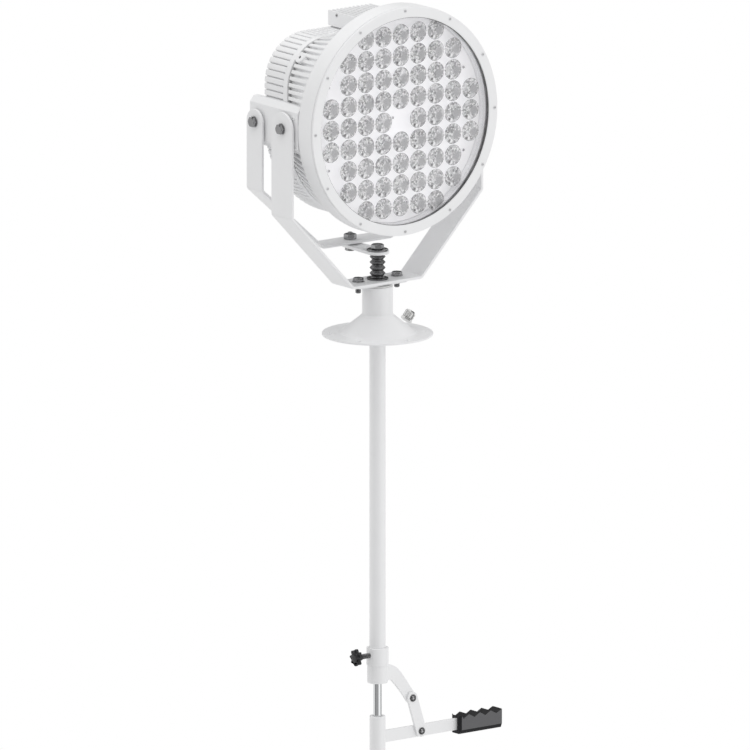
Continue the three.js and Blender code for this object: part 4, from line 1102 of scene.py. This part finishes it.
# ---------- push rod and what it carries ----------
def build_rod():
    low, high = box("push_rod")
    neck, shoulder = 7.9, 169.7
    corners = [
        (0, low.z), (ROD_RADIUS, low.z, 1.0), (ROD_RADIUS, shoulder, 0.6), (neck, shoulder, 0.2),
        (neck, high.z, 1.0), (0, high.z),
    ]
    spin_in("push_rod", corners, 0.4, PAN, CHROME, steps=64)


def build_link_plate():
    shape = Shape()
    low, high = box("link_plate")
    eye, tail = high.x, high.y - REAR_PIVOT.y
    reach = REAR_PIVOT.y - AXIS_Y
    outline = arc((0, 0), eye, 180, 360, 40) + arc((0, reach), tail, 0, 180, 32)
    slab(shape, outline, low.z, high.z, 1.2, PAN)
    stand_in(shape, "link_plate", STEEL, cuts=[drill(8.2, 100, 200)])


def build_rod_head():
    low, high = box("rod_washer")
    corners = [
        (8.2, low.z, 0), (19, low.z, 0.4), (high.x, low.z + 0.3, 0.8), (high.x, high.z - 0.6, 0.8),
        (20.6, high.z, 0.6), (15.4, high.z - 0.7, 1.2), (8.2, high.z - 0.4, 0),
    ]
    spin_in("rod_washer", corners, 0.4, PAN, BLACK, steps=72)
    low, high = box("rod_cap_nut")
    nut = Shape()
    hexagon(nut, NUT_ACROSS, high.z - low.z, PAN @ shift(0, 0, low.z), both=True)
    dome = [(0, high.z - 1), (8.4, high.z - 1, 0), (8.4, high.z + 0.3, 0.6), (0, high.z + 1.2)]
    turned(nut, dome, 0.6, PAN, steps=48)
    stand_in(nut, "rod_cap_nut", BLACK)


def build_link_bolt():
    place = shift(0, REAR_PIVOT.y, 0)
    plate_bottom = box("link_plate")[0].z
    bolt = Shape()
    down = place @ shift(0, 0, plate_bottom - 0.1) @ Matrix.Rotation(math.pi, 4, "X")
    add_bolt(bolt, down, box("link_bolt")[1].z - plate_bottom, tip=12)
    stand_in(bolt, "link_bolt", BLACK, BRIGHT)
    low, high = box("glide_washer")
    ring = disc(high.x + 1.5, low.z, high.z, bore=6.5)
    spin_in("glide_washer", ring, 0.4, place, NYLON, steps=64)
    nut = Shape()
    low, high = box("link_nut")
    hexagon(nut, NUT_ACROSS, high.z - low.z, place @ shift(0, 0, low.z), both=True)
    turned(nut, disc(13.2, low.z, low.z + 1.2, 0, 0.5), 0.3, place, steps=48)
    stand_in(nut, "link_nut", BLACK)


# ---------- collar, knob and handle ----------
def build_collar():
    shape = Shape()
    low, high = box("clamp_collar")
    upper, lower, ledge, flat = high.x, 21.5, -697, 20.9
    bore = TUBE_RADIUS + 0.3
    corners = [
        (bore, low.z, 0.4), (lower, low.z, 1.2), (lower, ledge - 0.6, 0.4), (upper, ledge, 0.5),
        (upper, high.z, 1.6), (bore, high.z, 0.4),
    ]
    press = lambda x, y, z: (max(x, -flat) if z > ledge + 1.5 else x, y, z)
    turned(shape, corners, 0.5, PAN, steps=144, fine=4, bend=press)
    seat = turned_to((-1, 0, 0), (-flat + 0.2, AXIS_Y, KNOB.z))
    turned(shape, disc(8.6, -1, 1.0, 0), 0.4, seat, steps=40)
    stand_in(shape, "clamp_collar", STEEL)


def build_arm():
    shape = Shape()
    root, end, slant = 20.5, 12.5, 57
    x, z = LINK_TOP.x, LINK_TOP.z
    low, high = -734.2, -700.5
    lean = math.radians(slant)
    across, up = end * math.sin(lean), end * math.cos(lean)
    outline = [(root, low), (33, low)] + curve((33, low), (45, -746), (62, -766), (x - across, z - up))
    outline += arc((x, z), end, 270 - slant, 450 - slant, 24)[1:]
    outline += curve((x + across, z + up), (60, -723), (50, high), (root, high))
    half = (box("bracket_arm")[1].y - box("bracket_arm")[0].y) / 2
    slab(shape, outline, AXIS_Y - half, AXIS_Y + half, 0.4, SWAP_YZ)
    stand_in(shape, "bracket_arm", STEEL)


def add_pin(shape, low, high, radius):
    """Pin with a round dome in a dished ring on each side; the ring's dark colour is painted shade."""
    middle, half = (low + high) / 2, (high - low) / 2
    dome = [(0, 0), (1.6, 0.25), (3.0, 0.9), (4.1, 1.9), (4.6, 3.0)]
    ring = [(4.6, 2.6), (5.4, 2.5), (radius - 0.4, 1.7), (radius, 2.1), (radius, 3.1), (4.6, 3.1)]
    front = [(r, middle + half - drop) for r, drop in dome]
    back = [(r, middle - half + drop) for r, drop in dome]
    revolve(shape, front + back[::-1], SWAP_YZ, steps=40)
    for way in (1, -1):
        profile = [(r, middle + way * (half - drop)) for r, drop in ring]
        revolve(shape, profile, SWAP_YZ, 1, steps=40)


def build_link():
    shape = Shape()
    low, high = box("link_bar")
    half = 12.5
    way = Vector((LINK_BOTTOM.x - LINK_TOP.x, LINK_BOTTOM.z - LINK_TOP.z))
    lean = math.degrees(math.atan2(way.y, way.x))
    outline = arc((LINK_TOP.x, LINK_TOP.z), half, lean + 90, lean + 270, 24)
    outline += arc((LINK_BOTTOM.x, LINK_BOTTOM.z), half, lean - 90, lean + 90, 24)
    slab(shape, outline, low.y, high.y, 0.4, SWAP_YZ)
    stand_in(shape, "link_bar", STEEL)
    for name, centre in (("upper_link_pin", LINK_TOP), ("lower_link_pin", LINK_BOTTOM)):
        low, high = box(name)
        pin = Shape()
        add_pin(pin, low.y, high.y, 7.5)
        pin.points = [point + Vector((centre.x, 0, centre.z)) for point in pin.points]
        stand_in(pin, name, PIN, PIN_RING_SHADE)


def build_lever():
    shape = Shape()
    low, high = box("lever_bar")
    half, neck, shoulder = 12.5, 7.5, 14
    middle = LINK_BOTTOM.z
    lower = [(low.x, neck, 3), (shoulder, neck, 1), (shoulder + 0.6, half, 1), (high.x, half, 2)]
    corners = [(x, middle - z, radius) for x, z, radius in lower]
    corners += [(x, middle + z, radius) for x, z, radius in reversed(lower)]
    slab(shape, rounded(corners, 2), low.y, high.y, 0.4, SWAP_YZ)
    stand_in(shape, "lever_bar", STEEL)


def grip_outline(low, high, cut):
    """Side view of the grip, its ends and its base drawn in by the cut; finger grooves along the top."""
    groove, pitch, first = 7.5, 28.4, low.x + 9
    left, right, base, top = low.x + cut, high.x - min(cut, 0.8), low.z + 2.2 * cut, high.z
    points = [(left, base), (right, base), (right, top)]
    for k in reversed(range(4)):
        middle = first + k * pitch
        if k < 3:
            points += [(middle + pitch / 2 + 1, top), (middle + pitch / 2 - 1, top)]
        points.append((middle, top - groove))
    return points + [(left, top - 1.5)]


def build_grip():
    """Moulded grip: deep chamfers round its sides, finger grooves on top and a mouth for the lever bar."""
    low, high = box("grip")
    middle, chamfer = (low.z + high.z) / 2, 4.6
    steps = [(chamfer, 0), (chamfer - 0.7, 0.3), (0.5, chamfer - 0.6), (0.1, chamfer + 0.4)]
    layers = [(cut, low.y + rise) for cut, rise in steps]
    layers += [(cut, high.y - rise) for cut, rise in reversed(steps)]
    shape = Shape()
    loft(shape, [[(x, z, y) for x, z in grip_outline(low, high, cut)] for cut, y in layers], SWAP_YZ)
    mouth = rectangle(low.x - 5, middle - 14, low.x + 9, middle + 14, 1.5)
    channel = rectangle(low.x - 5, middle - 12.8, high.x - 22, middle + 12.8, 0.4)
    cuts = [
        slab(Shape(), mouth, AXIS_Y - 6, AXIS_Y + 6, 0.5, SWAP_YZ),
        slab(Shape(), channel, AXIS_Y - 3.3, AXIS_Y + 3.3, 0.2, SWAP_YZ),
    ]
    stand_in(shape, "grip", GRIP, cuts=cuts, smooth=28)


def build_knob():
    """Star knob: eight rounded lobes, a shallow dome, a hub and a threaded stud."""
    low, high = box("clamp_knob")
    place = turned_to((-1, 0, 0), (0, AXIS_Y, KNOB.z))
    shape = Shape()
    lobes, waist, lobe_height = 8, 12.2, 5.8
    reach = lambda turn: waist + lobe_height * (0.5 + 0.5 * math.cos(lobes * turn)) ** 0.75
    outline = [polar(reach(turn), turn) for turn in around(160)]
    back, front = -(low.x + 14), -low.x
    slab(shape, outline, back + 2, front - 1.6, 3.2, place, steps=6)
    fall = [(0, 0), (5.5, 0.2, 1.5), (9.5, 1.2, 2), (11.2, 2.6, 0), (0, 2.6)]
    dome = [(radius, front - drop, *own) for radius, drop, *own in fall]
    turned(shape, dome, 1.5, place, steps=64)
    hub = [(0, back - 5), (6.6, back - 5, 0.8), (8.6, back + 2.6, 0.5), (0, back + 2.6)]
    turned(shape, hub, 0.8, place, steps=48)
    revolve(shape, thread(5.6, -high.x, back - 4, 1.5), place, 1, steps=32)
    stand_in(shape, "clamp_knob", PLASTIC, BLACK)


def build_handle_tube():
    low, high = box("handle_tube")
    shape = Shape()
    radius, bore, socket = high.x, 13.9, ROD_RADIUS + 0.3
    shoulder = box("push_rod")[0].z - 0.3
    corners = [
        (bore, low.z, 0.3), (radius, low.z, 0.6), (radius, high.z, 1.6), (socket, high.z, 0.6),
        (socket, shoulder, 0), (bore, shoulder, 0),
    ]
    turned(shape, corners, 0.5, PAN, fine=4)
    slot = rectangle(6, LINK_BOTTOM.z - 25, 30, LINK_BOTTOM.z + 25, 3)
    cut = slab(Shape(), slot, AXIS_Y - 3.8, AXIS_Y + 3.8, 0.3, SWAP_YZ)
    stand_in(shape, "handle_tube", STEEL, cuts=[cut])
    low, high = box("end_cap")
    brim, plug = low.z + 2.7, 13.5
    corners = [
        (0, low.z), (high.x, low.z, 1.6), (high.x, brim, 0.3), (plug, brim, 0),
        (plug, high.z, 0.5), (0, high.z),
    ]
    spin_in("end_cap", corners, 0.5, PAN, PLASTIC, steps=64)


# ---------- nodes that keep their CAD shape ----------
def dress_inner_nodes():
    """Parts inside the casings keep their CAD meshes and get their materials."""
    inner = {
        "lower_bush": NYLON, "upper_bush": NYLON, "rod_bush_top": NYLON, "rod_bush_bottom": NYLON,
        "led_board": BOARD, "driver_module": CASE,
    }
    for name, material in inner.items():
        piece = frame["nodes"][name]
        piece.data.materials.clear()
        piece.data.materials.append(material)


# ---------- studio ----------
VIEW_AZIMUTH, VIEW_ELEVATION = -37.4, 12.3
SOFT_LEVEL = 1.01
SHADE_SIDE = (-0.90, -0.42, -0.08)  # the side of the room that is less bright
SHADE_DEPTH = 0.52  # how much less bright it is at its darkest
# Grey of the upright panels round the object by their turn: opposite the camera (0 and 1), at the camera's
# left (0.25), behind the camera (0.5) and at its right (0.75).
PANELS = (
    (0.0, 0.95), (0.30, 0.88), (0.33, 0.10), (0.365, 0.10), (0.39, 0.45), (0.55, 0.40), (0.60, 1.15),
    (0.74, 1.3), (0.765, 0.10), (0.81, 0.10), (0.84, 0.9), (1.0, 0.95),
)
# Share of those panels by height, from straight down (0) to straight up (1): a dark belt above the horizon.
HEIGHTS = ((0.0, 0.7), (0.50, 1.0), (0.53, 0.10), (0.66, 0.10), (0.74, 0.85), (1.0, 1.1))


def ramp(tree, value, stops):
    """Piecewise grey levels along a value from 0 to 1."""
    made = node(tree, "ValToRGB", {0: value})
    levels = made.color_ramp.elements
    while len(levels) < len(stops):
        levels.new(0.5)
    for level, (place, grey) in zip(levels, stops):
        level.position = place
        level.color = (grey, grey, grey, 1)
    return made.outputs[0]


def build_world():
    """Even white surround for matt surfaces; shiny ones see a few upright panels round the camera."""
    world = bpy.data.worlds.new("studio")
    bpy.context.scene.world = world
    world.use_nodes = True
    tree = world.node_tree
    tree.nodes.clear()
    way = node(tree, "TexCoord").outputs["Generated"]
    dim = node(tree, "VectorMath", {0: way, 1: SHADE_SIDE}, operation="DOT_PRODUCT").outputs["Value"]
    dim = maths(tree, "MAXIMUM", dim, 0.0)
    dim = maths(tree, "POWER", dim, 2.0)
    soft = ranged(tree, dim, 0, 1, SOFT_LEVEL, SOFT_LEVEL * (1 - SHADE_DEPTH))
    faced = node(tree, "VectorRotate", {"Vector": way, "Angle": math.radians(-VIEW_AZIMUTH + 90)},
                 rotation_type="Z_AXIS").outputs[0]
    parts = node(tree, "SeparateXYZ", {0: faced})
    turn = maths(tree, "ARCTAN2", parts.outputs[1], parts.outputs[0])
    share = ranged(tree, turn, -math.pi, math.pi, 0, 1)
    panels = ramp(tree, share, PANELS)
    rise = ranged(tree, parts.outputs[2], -1, 1, 0, 1)
    height = ramp(tree, rise, HEIGHTS)
    shiny = maths(tree, "MULTIPLY", panels, height)
    path = node(tree, "LightPath")
    glossy = node(tree, "Mix", {0: path.outputs["Is Glossy Ray"], 2: soft, 3: shiny}).outputs[0]
    level = node(tree, "Mix", {0: path.outputs["Is Camera Ray"], 2: glossy, 3: 1.0}).outputs[0]
    back = node(tree, "Background", {"Color": (1, 1, 1, 1), "Strength": level})
    output = node(tree, "OutputWorld")
    tree.links.new(back.outputs[0], output.inputs[0])


def build_floor():
    """Pale floor below the handle that fades out, and that can't be seen from underneath."""
    radius, drop = 2.4, 0.30
    rim = [polar(radius / MM, turn, 0) for turn in around(96)]
    shape = Shape().add(rim, [list(range(len(rim)))], shift(0, AXIS_Y, (cad_low.z - drop) / MM))
    material, tree, output = blank("pale_floor")
    place = node(tree, "TexCoord").outputs["Object"]
    flat = node(tree, "VectorMath", {0: place, 1: (1, 1, 0)}, operation="MULTIPLY").outputs[0]
    reach = node(tree, "VectorMath", {0: flat}, operation="LENGTH").outputs["Value"]
    tone = mix_colour(tree, noise(tree, place, 120, 2.0), (0.90, 0.90, 0.90, 1), (0.93, 0.93, 0.93, 1))
    matt = node(tree, "BsdfDiffuse", {"Color": tone})
    glow = node(tree, "Emission", {"Color": (1, 1, 1, 1), "Strength": 0.20})
    lit = node(tree, "AddShader", {0: matt.outputs[0], 1: glow.outputs[0]})
    fade = ranged(tree, reach, 0.9, 2.2, 0, 1)
    under = node(tree, "NewGeometry").outputs["Backfacing"]
    hidden = maths(tree, "MAXIMUM", fade, under)
    clear = node(tree, "BsdfTransparent")
    both = node(tree, "MixShader", {0: hidden, 1: lit.outputs[0], 2: clear.outputs[0]})
    tree.links.new(both.outputs[0], output.inputs[0])
    floor = build(shape, "studio_floor", [material])
    floor.modifiers.clear()


def add_softbox(name, azimuth, elevation, distance, size, power):
    """A square area lamp that faces the lamp's middle; azimuth 0 is in front of the object."""
    aim, back = Vector((0, AXIS_Y * MM, 0.2)), direction(azimuth, elevation)
    light = bpy.data.lights.new(name, "AREA")
    light.size = size
    light.energy = power
    lamp = bpy.data.objects.new(name, light)
    lamp.location = aim + back * distance
    lamp.rotation_mode = "QUATERNION"
    lamp.rotation_quaternion = back.to_track_quat("Z", "Y")
    bpy.context.scene.collection.objects.link(lamp)


def build_camera():
    """Long lens at the left of the lamp and a little above it; the handle's end leaves the frame."""
    frame_width, lens = 1.545, 1500
    aim = Vector((-0.0066, AXIS_Y * MM, -0.0854))
    data = bpy.data.cameras.new("camera")
    data.lens = lens
    distance = frame_width / data.sensor_width * lens
    back = direction(VIEW_AZIMUTH, VIEW_ELEVATION)
    camera = bpy.data.objects.new("camera", data)
    camera.location = aim + back * distance
    camera.rotation_mode = "QUATERNION"
    camera.rotation_quaternion = (-back).to_track_quat("-Z", "Y")
    data.clip_start, data.clip_end = 0.5 * distance, 2 * distance
    bpy.context.scene.collection.objects.link(camera)
    bpy.context.scene.camera = camera


def build_studio():
    bpy.context.scene.view_settings.view_transform = "Standard"
    build_world()
    build_floor()
    add_softbox("key_softbox", 25, 30, 4.0, 2.4, 4)
    add_softbox("top_softbox", -60, 70, 4.0, 2.4, 22)
    build_camera()


build_bezel()
build_window()
build_optics()
build_front_housing()
build_rear_housing()
build_rear_cover()
build_top_block()
build_side_brackets()
build_pivot_bolts()
build_yoke("front_yoke", AXIS_Y, 279)
build_yoke("rear_yoke", REAR_PIVOT.y, 321)
build_pedestal()
build_gland()
build_thrust_washer()
build_pole()
build_bellows()
build_rod()
build_link_plate()
build_rod_head()
build_link_bolt()
build_collar()
build_arm()
build_link()
build_lever()
build_grip()
build_knob()
build_handle_tube()
dress_inner_nodes()
build_studio()
